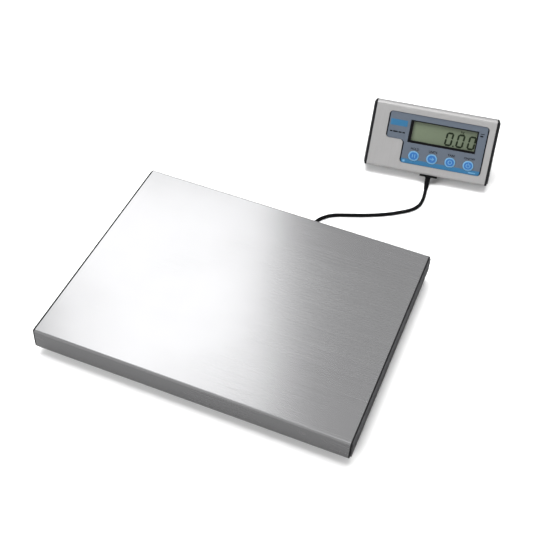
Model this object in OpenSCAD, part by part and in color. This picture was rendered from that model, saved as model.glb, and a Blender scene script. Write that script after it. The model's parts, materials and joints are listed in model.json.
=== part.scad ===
// Bench platform scale: a stainless weighing platform on a single load cell, with a
// separate display that stands beside it on a lead.
// Millimetres. +Z up, +Y to the back, origin on the bench at the middle of the footprint.

/* [Platform] */
// Width of the weighing platform, left to right
deck_w = 380; // [360:1:420]
// Depth of the weighing platform, front to back
deck_d = 300; // [290:1:330]
// Height of the weighing surface above the bench
deck_h = 41; // [41:0.5:44]
// Height of the cover's front and back skirts
skirt_h = 26; // [22:0.5:27]
// Thickness of the stainless sheet
sheet_t = 1.5; // [1:0.1:1.8]
// Outside radius of the cover's bends
bend_r = 3; // [2.5:0.1:4]
// Thickness of the black rim of a side trim
rim_t = 2.7; // [2:0.1:3.5]
// How far the trim's panel stands proud of its rim
panel_t = 1.8; // [1:0.1:2.5]
// Distance of the platform's centre from the origin, to the right
deck_x = -15; // [-20:1:-8]
// Distance of the platform's centre from the origin, to the back
deck_y = -132; // [-138:1:-126]

/* [Base] */
// Gap between the side of the platform and the tray, each side
tray_inset_x = 32; // [28:1:40]
// Gap between the front of the platform and the tray, each side
tray_inset_y = 27; // [24:1:32]
// Height of the tray's underside above the bench
tray_z = 8; // [8:0.5:9]
// Height of the tray's walls
tray_h = 15; // [12:0.5:16]
// Thickness of the steel sheet of tray and frame
steel_t = 2; // [1.5:0.1:2.2]
// Distance of each foot from the tray's corner sides
foot_inset = 22; // [20:1:28]

/* [Feet] */
// Radius of a rubber foot pad
pad_r = 17; // [12:0.5:19]
// Radius of a foot's threaded stem
stem_r = 4; // [3:0.5:4]
// Radius of a foot's finger wheel
wheel_r = 11; // [9:0.5:14]

/* [Load cell] */
// Length of the load cell
cell_l = 130; // [120:1:150]
// Width of the load cell
cell_w = 30; // [25:1:35]
// Height of the load cell
cell_h = 22; // [20:0.5:22]
// Distance between the two bolts at each end
cell_pitch = 25; // [20:1:28]
// Travel of the platform down to its overload stops
cell_travel = 1; // [0.5:0.1:1.2]

/* [Display] */
// Width of the display's housing between its end caps
case_w = 162; // [158:1:180]
// Height of the display's face
case_h = 89; // [88:0.5:94]
// Thickness of the display
case_t = 28; // [28:0.5:30]
// Thickness of the housing's walls
wall = 2.5; // [2:0.1:2.5]
// Depth of the dark back shell
back_t = 10; // [8:0.5:11]
// Angle that the display leans back from upright
tilt = 33; // [30:0.5:35]
// Angle that the display is turned to the left, seen from above
turn = 9; // [5:0.5:12]
// Place of the display's lower back edge, to the right of the origin
case_x = 117; // [112:1:124]
// Place of the display's lower back edge, behind the origin
case_y = 213; // [208:1:218]

/* [Label and keys] */
// Depth of the label's pocket
pocket_d = 1.2; // [0.8:0.1:1.3]
// Width of the display window
window_w = 92; // [84:0.5:92]
// Height of the display window
window_h = 30.5; // [26:0.5:31]
// Distance between neighbouring keys
key_pitch = 24.8; // [22:0.1:25]
// Width of a key
key_w = 14.4; // [12:0.1:15]
// Height of a key
key_h = 13; // [11:0.1:13.5]

/* [Stand] */
// Length of the stand leg from its hinge to the middle of its tip
leg_l = 52; // [50:0.5:56]
// Width of the stand leg
leg_w = 44; // [30:1:44]
// Height of the leg's hinge up the back of the display
leg_up = 60; // [58:0.5:64]

/* [Lead] */
// Diameter of the lead between the display and the platform
lead_d = 4.5; // [4:0.1:4.5]

/* [Hidden] */
$fn = 48;
eps = 0.01;

// platform, in its own frame: origin on the bench under the middle of the platform
trim_t = rim_t + panel_t;
skin_w = deck_w - 2 * trim_t;
skirt_z = deck_h - skirt_h;
cover_pad_t = 1;
frame_gap = 0.4;
frame_top = deck_h - sheet_t - cover_pad_t;
frame_t = 2.5;
frame_w = skin_w - 2 * 0.3;
frame_d = deck_d - 2 * (sheet_t + frame_gap);
frame_h = 17.5;
frame_z = frame_top - frame_t;
tab_y = [-100, 0, 100];
tab_w = 20;
tab_h = 5;
lighten_r = 18;
lighten_at = [for (x = [-138, -80, 80, 138], y = [-95, 95]) [x, y]];

// base
tray_w = deck_w - 2 * tray_inset_x;
tray_d = deck_d - 2 * tray_inset_y;
floor_z = tray_z + steel_t;
corner_r = 12;
foot_at = [for (y = [-1, 1], x = [-1, 1]) [x * (tray_w / 2 - foot_inset), y * (tray_d / 2 - foot_inset)]];
bush_r = 8;
bush_h = 9;
stop_at = [for (x = [-1, 1], y = [-1, 1]) [x * 112, y * 72]];
stop_r = 4;
rib_y = 42;
rib_h = 10;
rib_l = tray_w - 40;
notch_x = -30;
notch_w = 10;
rail_y = 31;
rail_w = 12;
rail_h = 9;
gland_x = 18;
gland_z = 15;
gland_r = 5.5;

// foot
pad_h = 4.8;
pivot_r = 5;
pivot_z = 2.1;
wheel_h = 2.4;
wheel_z = pad_h + 0.2;
stem_top = 26;
run = 0.1;

// load cell
spacer_t = 2;
spacer_l = 40;
cell_z = floor_z + spacer_t;
bolt_r = 3;
bolt_x = [for (k = [0, 1]) cell_l / 2 - 7.5 - k * cell_pitch];
tap_depth = 13;
head_r = 5;
head_h = 3;
csk_r = 6;
csk_h = 3;
eye_r = 7.5;
eye_x = 11;

// display, in its own frame: x to the right, y up the face, z out of the face,
// origin at the middle of the lower back edge
cap_rim = 3;
cap_panel = 1.5;
cap_inset = 2.5;
cap_lip = 1;
edge_top_r = 5;
edge_low_r = 3;
edge_back_r = 2;
chamfer = 5;
pocket_l = -62.5;
pocket_r = 73;
pocket_low = 11;
pocket_top = 78;
step_x = -38;
step_y = 41.5;
pocket_rad = 5;
label_t = 0.4;
label_z = case_t - pocket_d;
window_at = [14, 54.75];
view_w = 86.5;
view_h = 26;
view_at = [15.25, 55.5];
key_at = [for (k = [0:3]) [-19.9 + k * key_pitch, 22.5]];
key_gap = 0.3;
key_top = case_t - 0.1;
key_flange = 0.9;
front_in = case_t - wall;
board_z = 15.6;
board_t = 1.6;
switch_top = 20.4;
plunger_z = 21;
case_screw_at = [for (x = [-76.3, 76.3], y = [9.5, 79]) [x, y]];
case_boss_r = 3.5;
board_screw_at = [[-30.5, 31.8], [-30.5, 78.3], [68, 20], [68, 78.3]];
board_boss_r = 2.6;
bay_l = -71;
bay_r = -40.5;
bay_low = 16;
bay_top = 73;
battery_w = 26.5;
battery_l = 48.5;
battery_t = 17.5;
battery_at = [(bay_l + bay_r) / 2, 42.5, 3.2];
jack_at = [52, 18];
jack_r = 2.8;

// lead exit under the display
exit_x = 5;
exit_z = 22.5;
gland_screw_at = [for (s = [-1, 1]) [exit_x + s * 9, exit_z - 1.7]];
gland_plate_w = 24;
gland_plate_t = 2.5;
gland_plate_z0 = 14;
gland_plate_z1 = 26.5;
boot_root = 1;
boot_bend = 14;
boot_r0 = 3.75;
boot_r1 = 2.8;
boot_straight = 4;
boot_neck_r = 2.9;

// stand leg
hinge_out = 5;
pin_r = 1.5;
pin_gap = 0.05;
barrel_r = 3.5;
ear_w = 4;
ear_gap = 0.4;
leg_t = 2.5;
tip_r = 3;
hinge_height = leg_up * cos(tilt) - hinge_out * sin(tilt);
leg_open = tilt + acos((hinge_height - tip_r) / leg_l);

// The lead's own points from the end of the boot to the gland on the base, in order
lead_route = [
    [127, 181.8, 3], [128.4, 173, 2.6], [129.6, 163, 2.3], [130, 153, 2.3],
    [128.6, 142.5, 2.3], [124, 132.8, 2.3], [117, 125, 2.3], [108, 117.5, 2.3],
    [98, 110, 2.3], [87, 103, 2.3], [76, 97, 2.3], [65, 91.5, 2.3], [53, 86.2, 2.3],
    [42, 81.4, 2.3], [32, 76.6, 2.3], [24, 70.8, 2.3], [17.6, 63, 2.3], [13, 54, 2.3],
    [9.6, 45, 2.8], [7, 36.5, 4.4], [5, 29, 6.8], [3.8, 22, 9.2], [3.3, 16, 11.4],
    [3.1, 11, 13.3], [3, 6, 15], [3, 0, 15]];

// The load cell's own cable inside the base, in the platform's frame
cell_route = [
    [18, 117, 15], [18, 111, 15], [17, 101, 12.8], [11, 88, 11.8], [2, 76, 11.8],
    [-9, 65, 11.8], [-20, 56, 11.8], [-28, 48, 11.8], [-30, 39, 12.2], [-30, 31, 14.4],
    [-30, 21, 18], [-30, 15, 18]];
cell_lead_r = 1.6;

// ---- helpers ----

// rectangle about the origin with all corners rounded
module rounded(w, d, r) {
    square([w - 2 * r, d], center = true);
    square([w, d - 2 * r], center = true);
    for (x = [-1, 1], y = [-1, 1]) translate([x * (w / 2 - r), y * (d / 2 - r)]) circle(r);
}

// rectangle standing on the first axis, with its two upper corners rounded
module arch(w, h, r) {
    translate([-w / 2, 0]) square([w, h - r]);
    translate([-w / 2 + r, 0]) square([w - 2 * r, h]);
    for (x = [-1, 1]) translate([x * (w / 2 - r), h - r]) circle(r);
}

// slot shape with straight top and bottom
module obround(w, h) {
    square([w - h, h], center = true);
    for (x = [-1, 1]) translate([x * (w - h) / 2, 0]) circle(h / 2);
}

// carries a profile drawn in (y, z) along x
module along_x(x0, len) translate([x0, 0, 0]) rotate([90, 0, 90]) linear_extrude(len) children();

module box(lo, hi) translate(lo) cube(hi - lo);

module at_deck() translate([deck_x, deck_y, 0]) children();

module at_case() translate([case_x, case_y, 0]) rotate([90 - tilt, 0, turn]) children();

// tube of changing radius through a list of points
function unit(v) = v / norm(v);
function heading(p, i) = unit(p[min(i + 1, len(p) - 1)] - p[max(i - 1, 0)]);
function side_of(t) = unit(cross(t, abs(t[2]) > 0.9 ? [0, 1, 0] : [0, 0, 1]));
module tube(points, radii, sides) {
    rings = [for (i = [0:len(points) - 1])
        let (t = heading(points, i), a = side_of(t), b = cross(a, t))
        for (k = [0:sides - 1]) points[i]
            + radii[i] * (cos(360 * (k + 0.5) / sides) * a + sin(360 * (k + 0.5) / sides) * b)];
    last = (len(points) - 1) * sides;
    walls = [for (i = [0:len(points) - 2], k = [0:sides - 1])
        let (m = (k + 1) % sides, q = i * sides)
        each [[q + k, q + m, q + sides + m], [q + k, q + sides + m, q + sides + k]]];
    polyhedron(rings, concat([[for (k = [sides - 1:-1:0]) k]], walls,
        [[for (k = [0:sides - 1]) last + k]]));
}

// ---- base ----

module base_tray() color([0.10, 0.10, 0.11]) at_deck() difference() {
    translate([0, 0, tray_z]) linear_extrude(tray_h) rounded(tray_w, tray_d, corner_r);
    translate([0, 0, floor_z])
        linear_extrude(tray_h) rounded(tray_w - 2 * steel_t, tray_d - 2 * steel_t, corner_r - steel_t);
    for (p = foot_at) translate([p[0], p[1], tray_z - 1]) cylinder(r = stem_r + 0.5, h = steel_t + 2);
    for (x = bolt_x) translate([-x, 0, tray_z - 1]) cylinder(r = bolt_r + 0.3, h = steel_t + 2);
    translate([gland_x, tray_d / 2 + 1, gland_z]) rotate([90, 0, 0]) cylinder(r = 4, h = steel_t + 2);
}

module tray_ribs() color([0.10, 0.10, 0.11]) at_deck() for (s = [-1, 1]) difference() {
    box([-rib_l / 2, s * rib_y - 1, floor_z], [rib_l / 2, s * rib_y + 1, floor_z + rib_h]);
    box([notch_x - notch_w / 2, s * rib_y - 2, floor_z - 1],
        [notch_x + notch_w / 2, s * rib_y + 2, floor_z + 6]);
}

module foot_bushes() color([0.55, 0.55, 0.57]) at_deck() for (p = foot_at)
    translate([p[0], p[1], floor_z]) difference() {
        cylinder(r = bush_r, h = bush_h);
        translate([0, 0, -1]) cylinder(r = stem_r + run, h = bush_h + 2);
    }

module foot_pad(i) color([0.08, 0.08, 0.08]) at_deck() translate(foot_at[i]) difference() {
    union() {
        cylinder(r = pad_r, h = pad_h - 1.5);
        translate([0, 0, pad_h - 1.5]) cylinder(r1 = pad_r, r2 = pad_r - 2, h = 1.5);
    }
    translate([0, 0, pivot_z - run]) cylinder(r = pivot_r + run, h = pad_h);
}

module foot_stem(i) color([0.62, 0.62, 0.64]) at_deck() translate(foot_at[i]) {
    translate([0, 0, pivot_z]) cylinder(r = pivot_r, h = wheel_z - pivot_z + eps);
    translate([0, 0, wheel_z]) cylinder(r = wheel_r, h = wheel_h);
    translate([0, 0, wheel_z + wheel_h - eps]) cylinder(r = stem_r, h = stem_top - wheel_z - wheel_h);
}

module overload_stops() color([0.62, 0.62, 0.64]) at_deck() for (p = stop_at)
    translate([p[0], p[1], floor_z]) {
        cylinder(r = 7.5, h = 6, $fn = 6);
        cylinder(r = stop_r, h = frame_z - floor_z - cell_travel - 0.05);
    }

// ---- load cell ----

module cell_block(x0, x1, z0, z1, holes, r) difference() {
    box([x0, -cell_w / 2, z0], [x1, cell_w / 2, z1]);
    for (x = holes) translate([x, 0, z0 - 1]) cylinder(r = r, h = z1 - z0 + 2);
}

module cell_spacer_lower() color([0.62, 0.62, 0.64]) at_deck()
    cell_block(-cell_l / 2, spacer_l - cell_l / 2, floor_z, cell_z, -bolt_x, bolt_r + 0.3);

module cell_spacer_upper() color([0.62, 0.62, 0.64]) at_deck()
    cell_block(cell_l / 2 - spacer_l, cell_l / 2, cell_z + cell_h, frame_z, bolt_x, bolt_r + 0.8);

module load_cell() color([0.80, 0.81, 0.82]) at_deck() difference() {
    box([-cell_l / 2, -cell_w / 2, cell_z], [cell_l / 2, cell_w / 2, cell_z + cell_h]);
    for (x = bolt_x) {
        translate([-x, 0, cell_z - 1]) cylinder(r = bolt_r + run, h = tap_depth + 2);
        translate([x, 0, cell_z + cell_h - tap_depth - 1]) cylinder(r = bolt_r + run, h = tap_depth + 2);
    }
    translate([0, 0, cell_z + cell_h / 2]) {
        for (s = [-1, 1]) translate([s * eye_x, cell_w, 0]) rotate([90, 0, 0])
            cylinder(r = eye_r, h = 2 * cell_w);
        box([-eye_x, -cell_w, -3], [eye_x, cell_w, 3]);
    }
}

module cell_bolts_lower() color([0.62, 0.62, 0.64]) at_deck() for (x = bolt_x)
    translate([-x, 0, tray_z - head_h]) {
        cylinder(r = head_r, h = head_h);
        cylinder(r = bolt_r, h = head_h + steel_t + spacer_t + tap_depth);
    }

module cell_bolts_upper() color([0.62, 0.62, 0.64]) at_deck() for (x = bolt_x) {
    translate([x, 0, frame_top - csk_h - 0.1]) cylinder(r1 = bolt_r, r2 = csk_r, h = csk_h);
    translate([x, 0, cell_z + cell_h - tap_depth])
        cylinder(r = bolt_r, h = frame_top - csk_h - cell_z - cell_h + tap_depth);
}

module cell_lead() color([0.30, 0.30, 0.32]) at_deck()
    tube(cell_route, [for (p = cell_route) cell_lead_r], 8);

module base_gland() color([0.09, 0.09, 0.09]) at_deck()
        translate([gland_x, tray_d / 2, gland_z]) rotate([-90, 0, 0]) {
    translate([0, 0, -steel_t - 4]) cylinder(r = gland_r, h = 4, $fn = 6);
    translate([0, 0, -steel_t - 4]) cylinder(r = 3.9, h = steel_t + 5);
    cylinder(r = gland_r, h = 4.5, $fn = 6);
    translate([0, 0, 4]) cylinder(r1 = 4.7, r2 = 3.4, h = 5);
}

// ---- platform ----

module upper_frame() color([0.55, 0.56, 0.57]) at_deck() difference() {
    along_x(-frame_w / 2, frame_w) translate([0, frame_top - frame_h]) arch(frame_d, frame_h, bend_r);
    box([-frame_w / 2 + steel_t, -frame_d / 2 + steel_t, 0],
        [frame_w / 2 - steel_t, frame_d / 2 - steel_t, frame_z]);
    for (p = lighten_at) translate([p[0], p[1], frame_z - 1]) cylinder(r = lighten_r, h = frame_t + 2);
    for (x = bolt_x) translate([x, 0, frame_z - 1]) {
        cylinder(r = bolt_r + 0.3, h = frame_t + 2);
        translate([0, 0, 1 + frame_t - csk_h - 0.1])
            cylinder(r1 = bolt_r + 0.2, r2 = csk_r + 0.3, h = csk_h + 0.2);
    }
    for (s = [-1, 1], y = tab_y) translate([s * frame_w / 2, y, frame_top - frame_h / 2])
        cube([3 * steel_t, tab_w + 1, tab_h + 1], center = true);
}

module upper_rails() color([0.55, 0.56, 0.57]) at_deck() for (s = [-1, 1]) difference() {
    box([-165, s * rail_y - rail_w / 2, frame_z - rail_h], [165, s * rail_y + rail_w / 2, frame_z]);
    box([-166, s * rail_y - rail_w / 2 + steel_t, frame_z - rail_h + steel_t],
        [166, s * rail_y + rail_w / 2 - steel_t, frame_z + 1]);
}

module cover_pads() color([0.12, 0.12, 0.12]) at_deck() for (x = [-160, 0, 160], y = [-60, 60])
    translate([x, y, frame_top]) cylinder(r = 12, h = cover_pad_t);

module top_cover() color([0.78, 0.78, 0.79]) at_deck() translate([0, 0, skirt_z]) difference() {
    along_x(-skin_w / 2, skin_w) arch(deck_d, skirt_h, bend_r);
    along_x(-skin_w / 2 - 1, skin_w + 2) translate([0, -1])
        arch(deck_d - 2 * sheet_t, skirt_h + 1 - sheet_t, bend_r - sheet_t);
}

// drawn for the right-hand side
module side_trim() {
    along_x(skin_w / 2, rim_t) translate([0, skirt_z]) arch(deck_d, skirt_h, bend_r);
    along_x(skin_w / 2 + rim_t - eps, panel_t + eps) translate([0, skirt_z + 1.6])
        arch(deck_d - 3.2, skirt_h - 3.2, bend_r - 1);
    for (y = tab_y) translate([skin_w / 2 - 1.5, y, frame_top - frame_h / 2])
        cube([6, tab_w, tab_h - 0.4], center = true);
}

module side_trim_right() color([0.14, 0.14, 0.15]) at_deck() side_trim();

module side_trim_left() color([0.14, 0.14, 0.15]) at_deck() mirror([1, 0, 0]) side_trim();

// ---- display housing ----

// what a rounded corner at the origin leaves over
module corner(r) difference() {
    translate([-1, -1]) square(r + 1);
    translate([r, r]) circle(r);
}

// the housing's outline in (y, z), drawn in by g all round
module case_outline(g = 0) {
    h = case_h - 2 * g;
    t = case_t - 2 * g;
    c = chamfer - g * (2 - sqrt(2));
    translate([g, g]) difference() {
        square([h, t]);
        polygon([[-1, -1], [c + 1, -1], [-1, c + 1]]);
        translate([0, t]) mirror([0, 1]) corner(max(edge_low_r - g, 0.4));
        translate([h, t]) mirror([1, 0]) mirror([0, 1]) corner(max(edge_top_r - g, 0.4));
        translate([h, 0]) mirror([1, 0]) corner(max(edge_back_r - g, 0.4));
    }
}

module case_hollow() along_x(-case_w / 2 - 1, case_w + 2) case_outline(wall);

// the label's pocket: a wide field with a lobe to its upper left, drawn in by g
module pocket(g = 0) {
    r = pocket_rad - g;
    translate([(step_x + pocket_r) / 2, (pocket_low + pocket_top) / 2])
        rounded(pocket_r - step_x - 2 * g, pocket_top - pocket_low - 2 * g, r);
    translate([(pocket_l + step_x + 20) / 2, (step_y + pocket_top) / 2])
        rounded(step_x + 20 - pocket_l - 2 * g, pocket_top - step_y - 2 * g, r);
    f = pocket_rad + g - 1;
    translate([step_x + g - f, step_y + g - f]) difference() {
        square(f + eps);
        circle(f);
    }
}

module window() translate(window_at) square([window_w, window_h], center = true);

module key_holes(g) for (p = key_at) translate(p) obround(key_w + 2 * g, key_h + 2 * g);

module front_shell() color([0.74, 0.74, 0.75]) at_case() {
    difference() {
        along_x(-case_w / 2, case_w) case_outline();
        case_hollow();
        box([-case_w, -1, -1], [case_w, case_h + 1, back_t]);
        translate([0, 0, label_z]) linear_extrude(pocket_d + 1) pocket();
        translate([0, 0, front_in - 1]) linear_extrude(wall + 2) {
            translate(window_at) square([window_w + 1, window_h + 1], center = true);
            key_holes(key_gap);
        }
        translate([exit_x, -1, exit_z]) rotate([-90, 0, 0]) cylinder(r = boot_neck_r + run, h = wall + 2);
        for (p = gland_screw_at)
            translate([p[0], -1, p[1]]) rotate([-90, 0, 0]) cylinder(r = 1.3, h = wall + 2);
    }
    for (p = case_screw_at) boss(p, back_t, case_boss_r, 1.6);
    for (p = board_screw_at) boss(p, board_z + board_t, board_boss_r, 1.3);
}

// round post from z0 to the inside of the face, with a screw hole
module boss(p, z0, r, hole) translate([p[0], p[1], z0]) difference() {
    cylinder(r = r, h = front_in - z0 + eps);
    translate([0, 0, -1]) cylinder(r = hole, h = front_in - z0 - 1);
}

module ear(x0) difference() {
    union() {
        box([x0, leg_up - barrel_r, -hinge_out], [x0 + ear_w, leg_up + barrel_r, eps]);
        translate([x0, leg_up, -hinge_out]) rotate([0, 90, 0]) cylinder(r = barrel_r, h = ear_w);
    }
    translate([x0 - 1, leg_up, -hinge_out]) rotate([0, 90, 0]) cylinder(r = pin_r, h = ear_w + 2);
}

module back_shell() color([0.36, 0.37, 0.38]) at_case() {
    difference() {
        along_x(-case_w / 2, case_w) case_outline();
        case_hollow();
        box([-case_w, -1, back_t], [case_w, case_h + 1, case_t + 1]);
        box([bay_l, bay_low, -1], [bay_r, bay_top, wall + 1]);
        for (p = case_screw_at) translate([p[0], p[1], -1]) {
            cylinder(r = 1.7, h = wall + 2);
            cylinder(r = 3.1, h = 2.6);
        }
        translate([jack_at[0], jack_at[1], -1]) cylinder(r = jack_r + 1.2, h = wall + 2);
    }
    for (p = case_screw_at) translate([p[0], p[1], wall - eps]) difference() {
        cylinder(r = case_boss_r, h = back_t - wall);
        translate([0, 0, -1]) cylinder(r = 1.7, h = back_t);
    }
    for (x = [bay_l - 1.5, bay_r]) box([x, bay_low, wall - eps], [x + 1.5, bay_top, back_t + 2]);
    difference() {
        box([battery_at[0] - 5, bay_top - 4.2, wall - 0.1], [battery_at[0] + 5, bay_top + 2, wall + 3]);
        translate([battery_at[0], bay_top - 2.2, 0]) cylinder(r = 1.2, h = 10);
    }
    for (x = [leg_w / 2 + ear_gap, -leg_w / 2 - ear_gap - ear_w]) ear(x);
}

// drawn for the right-hand end
module end_cap() {
    along_x(case_w / 2, cap_rim) case_outline();
    along_x(case_w / 2 + cap_rim - eps, cap_panel + eps) case_outline(cap_inset);
    difference() {
        along_x(case_w / 2 - cap_lip, cap_lip + eps) case_outline(wall + 0.1);
        along_x(case_w / 2 - cap_lip - 1, cap_lip + 1) case_outline(wall + 2);
    }
}

module end_cap_right() color([0.11, 0.11, 0.12]) at_case() end_cap();

module end_cap_left() color([0.11, 0.11, 0.12]) at_case() mirror([1, 0, 0]) end_cap();

module screw(p, z0, head, head_len, shank, len) translate([p[0], p[1], z0]) {
    cylinder(r = head, h = head_len);
    cylinder(r = shank, h = len);
}

module case_screws() color([0.20, 0.20, 0.21]) at_case()
    for (p = case_screw_at) screw(p, 0.2, 2.9, 1.4, 1.5, 20);

module board_screws() color([0.70, 0.70, 0.72]) at_case()
    for (p = board_screw_at) screw(p, board_z - 1.6, 2.4, 1.6, 1.2, 8);

module door_screw() color([0.20, 0.20, 0.21]) at_case()
    screw([battery_at[0], bay_top - 2.2], 0.2, 2.1, 1.3, 1.1, 5);

module display_feet() color([0.08, 0.08, 0.08]) at_case() {
    r = chamfer / 2 * (cos(tilt) + sin(tilt));
    for (s = [-1, 1]) difference() {
        translate([s * 55 - 8, chamfer / 2, chamfer / 2]) rotate([0, 90, 0]) cylinder(r = r, h = 16);
        along_x(-case_w / 2, case_w) case_outline();
    }
}

// ---- display face ----

module label() color([0.45, 0.50, 0.56]) at_case() translate([0, 0, label_z]) linear_extrude(label_t)
    difference() {
        pocket(0.2);
        window();
        key_holes(key_gap);
    }

module lcd_frame() color([0.05, 0.05, 0.05]) at_case() difference() {
    union() {
        translate([window_at[0], window_at[1], front_in - 2]) linear_extrude(1.9)
            square([window_w + 8, window_h + 8], center = true);
        translate([window_at[0], window_at[1], front_in - 2]) linear_extrude(label_z - front_in + 1.8)
            square([window_w + 0.4, window_h + 0.4], center = true);
    }
    translate([view_at[0], view_at[1], front_in - 3]) linear_extrude(5)
        square([view_w, view_h], center = true);
}

module lcd_plate(z0, z1) translate([view_at[0], view_at[1], z0]) linear_extrude(z1 - z0)
    square([view_w + 5, view_h + 5], center = true);

module lcd_glass() color([0.60, 0.66, 0.54]) at_case() lcd_plate(front_in - 4.9, front_in - 2.1);

module lcd_backlight() color([0.85, 0.87, 0.80]) at_case()
    lcd_plate(board_z + board_t + 0.1, front_in - 5);

module key(i) at_case() translate([key_at[i][0], key_at[i][1], 0]) {
    translate([0, 0, front_in - 0.3]) linear_extrude(key_top - front_in + 0.3) obround(key_w, key_h);
    translate([0, 0, front_in - 1.3]) linear_extrude(1.1)
        obround(key_w + 2 * key_flange, key_h + 2 * key_flange);
    translate([0, 0, plunger_z]) cylinder(r = 2, h = front_in - 1.2 - plunger_z);
}

module key_hold() color([0.16, 0.45, 0.78]) key(0);
module key_units() color([0.16, 0.45, 0.78]) key(1);
module key_tare() color([0.16, 0.45, 0.78]) key(2);
module key_power() color([0.16, 0.45, 0.78]) key(3);

// ---- inside the display ----

module display_board() color([0.05, 0.35, 0.18]) at_case() difference() {
    box([-34, 8, board_z], [71.5, 82, board_z + board_t]);
    for (p = board_screw_at) translate([p[0], p[1], board_z - 1]) cylinder(r = 1.5, h = board_t + 2);
}

module tact_switches() color([0.12, 0.12, 0.13]) at_case() for (p = key_at)
    translate([p[0], p[1], board_z + board_t]) {
        translate([-3, -3, 0]) cube([6, 6, 2.6]);
        cylinder(r = 1.7, h = switch_top - board_z - board_t);
    }

module battery() color([0.25, 0.27, 0.30]) at_case()
    translate(battery_at + [0, battery_l / 2, battery_t / 2]) rotate([90, 0, 0])
        linear_extrude(battery_l) rounded(battery_w, battery_t, 2);

module battery_clip() color([0.08, 0.08, 0.08]) at_case()
    box([battery_at[0] - 12, battery_at[1] + battery_l / 2 + 0.2, 7],
        [battery_at[0] + 12, battery_at[1] + battery_l / 2 + 3.2, 18]);

module battery_door() color([0.33, 0.34, 0.35]) at_case() difference() {
    union() {
        box([bay_l + 0.3, bay_low + 0.3, 0], [bay_r - 0.3, bay_top - 0.3, wall - 0.2]);
        for (x = [bay_l + 6, bay_r - 12]) {
            box([x, bay_low + 0.3, 0], [x + 6, bay_low + 1.6, wall + 1.4]);
            box([x, bay_low - 1.6, wall + 0.2], [x + 6, bay_low + 1.6, wall + 1.4]);
        }
    }
    translate([battery_at[0], bay_top - 2.2, -1]) {
        cylinder(r = 1.3, h = 5);
        cylinder(r = 2.3, h = 2.5);
    }
}

module power_socket() color([0.07, 0.07, 0.07]) at_case() {
    difference() {
        union() {
            translate([jack_at[0], jack_at[1], 0.3]) cylinder(r = jack_r + 1, h = 3);
            box([jack_at[0] - 5, jack_at[1] - 4.5, wall + 0.1], [jack_at[0] + 5, jack_at[1] + 4.5, 13]);
        }
        translate([jack_at[0], jack_at[1], -1]) cylinder(r = jack_r, h = 10.5);
    }
    translate([jack_at[0], jack_at[1], 1.3]) cylinder(r = 1, h = 8.5);
}

// ---- lead ----

module gland_plate() color([0.06, 0.06, 0.06]) at_case() difference() {
    translate([exit_x, 0, (gland_plate_z0 + gland_plate_z1) / 2]) rotate([90, 0, 0])
        linear_extrude(gland_plate_t) rounded(gland_plate_w, gland_plate_z1 - gland_plate_z0, 1.5);
    for (p = gland_screw_at) translate([p[0], -gland_plate_t - 1, p[1]]) rotate([-90, 0, 0]) {
        cylinder(r = 1.3, h = gland_plate_t + 2);
        cylinder(r = 2.3, h = 2.3);
    }
    translate([exit_x, -gland_plate_t - 1, exit_z]) rotate([-90, 0, 0])
        cylinder(r = boot_neck_r + run, h = gland_plate_t + 2);
}

module gland_screws() color([0.20, 0.20, 0.21]) at_case() for (p = gland_screw_at)
    translate([p[0], -gland_plate_t + 0.1, p[1]]) rotate([-90, 0, 0]) {
        cylinder(r = 2.1, h = 1.2);
        cylinder(r = 1.1, h = 7);
    }

// The boot leaves the plate at right angles and bends until it lies level.
boot_turn = 90 - tilt;
boot_steps = 8;
boot_start = [exit_x, -gland_plate_t, exit_z];
boot_bent = [for (k = [0:boot_steps]) let (a = boot_turn * k / boot_steps)
    boot_start + [0, -boot_root - boot_bend * sin(a), boot_bend * (1 - cos(a))]];
boot_out = [0, -cos(boot_turn), sin(boot_turn)];
boot_path = concat([boot_start], boot_bent, [boot_bent[boot_steps] + boot_straight * boot_out]);
boot_last = len(boot_path) - 1;
boot_radii = [for (k = [0:boot_last]) boot_r0 + (boot_r1 - boot_r0) * k / boot_last];

module strain_relief() color([0.05, 0.05, 0.05]) at_case() {
    tube(boot_path, boot_radii, 16);
    translate([exit_x, -gland_plate_t - 0.2, exit_z]) rotate([-90, 0, 0])
        cylinder(r = boot_neck_r, h = gland_plate_t + wall + 2);
}

module lead() color([0.04, 0.04, 0.04]) tube(lead_route, [for (p = lead_route) lead_d / 2], 8);

// ---- stand ----

module at_hinge() at_case() translate([0, leg_up, -hinge_out]) children();

module stand_pin() color([0.70, 0.70, 0.72]) at_hinge() rotate([0, 90, 0])
    cylinder(r = pin_r, h = leg_w + 2 * (ear_gap + ear_w), center = true);

module stand_leg() color([0.36, 0.37, 0.38]) at_hinge() rotate([leg_open, 0, 0]) difference() {
    union() {
        rotate([0, 90, 0]) cylinder(r = barrel_r, h = leg_w, center = true);
        box([-leg_w / 2, -leg_l, -leg_t / 2], [leg_w / 2, 0, leg_t / 2]);
    }
    rotate([0, 90, 0]) cylinder(r = pin_r + pin_gap, h = leg_w + 2, center = true);
    box([-leg_w / 2 + 9, -leg_l + 12, -leg_t], [leg_w / 2 - 9, -12, leg_t]);
    translate([0, -leg_l, 0]) rotate([0, 90, 0]) cylinder(r = 1.8, h = leg_w + 2, center = true);
}

module stand_tip() color([0.08, 0.08, 0.08]) at_hinge() rotate([leg_open, 0, 0]) translate([0, -leg_l, 0]) {
    rotate([0, 90, 0]) cylinder(r = 1.75, h = leg_w, center = true);
    difference() {
        rotate([0, 90, 0]) cylinder(r = tip_r, h = leg_w, center = true);
        box([-leg_w, -1, -leg_t / 2 - 0.05], [leg_w, tip_r + 1, leg_t / 2 + 0.05]);
    }
}

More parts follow.
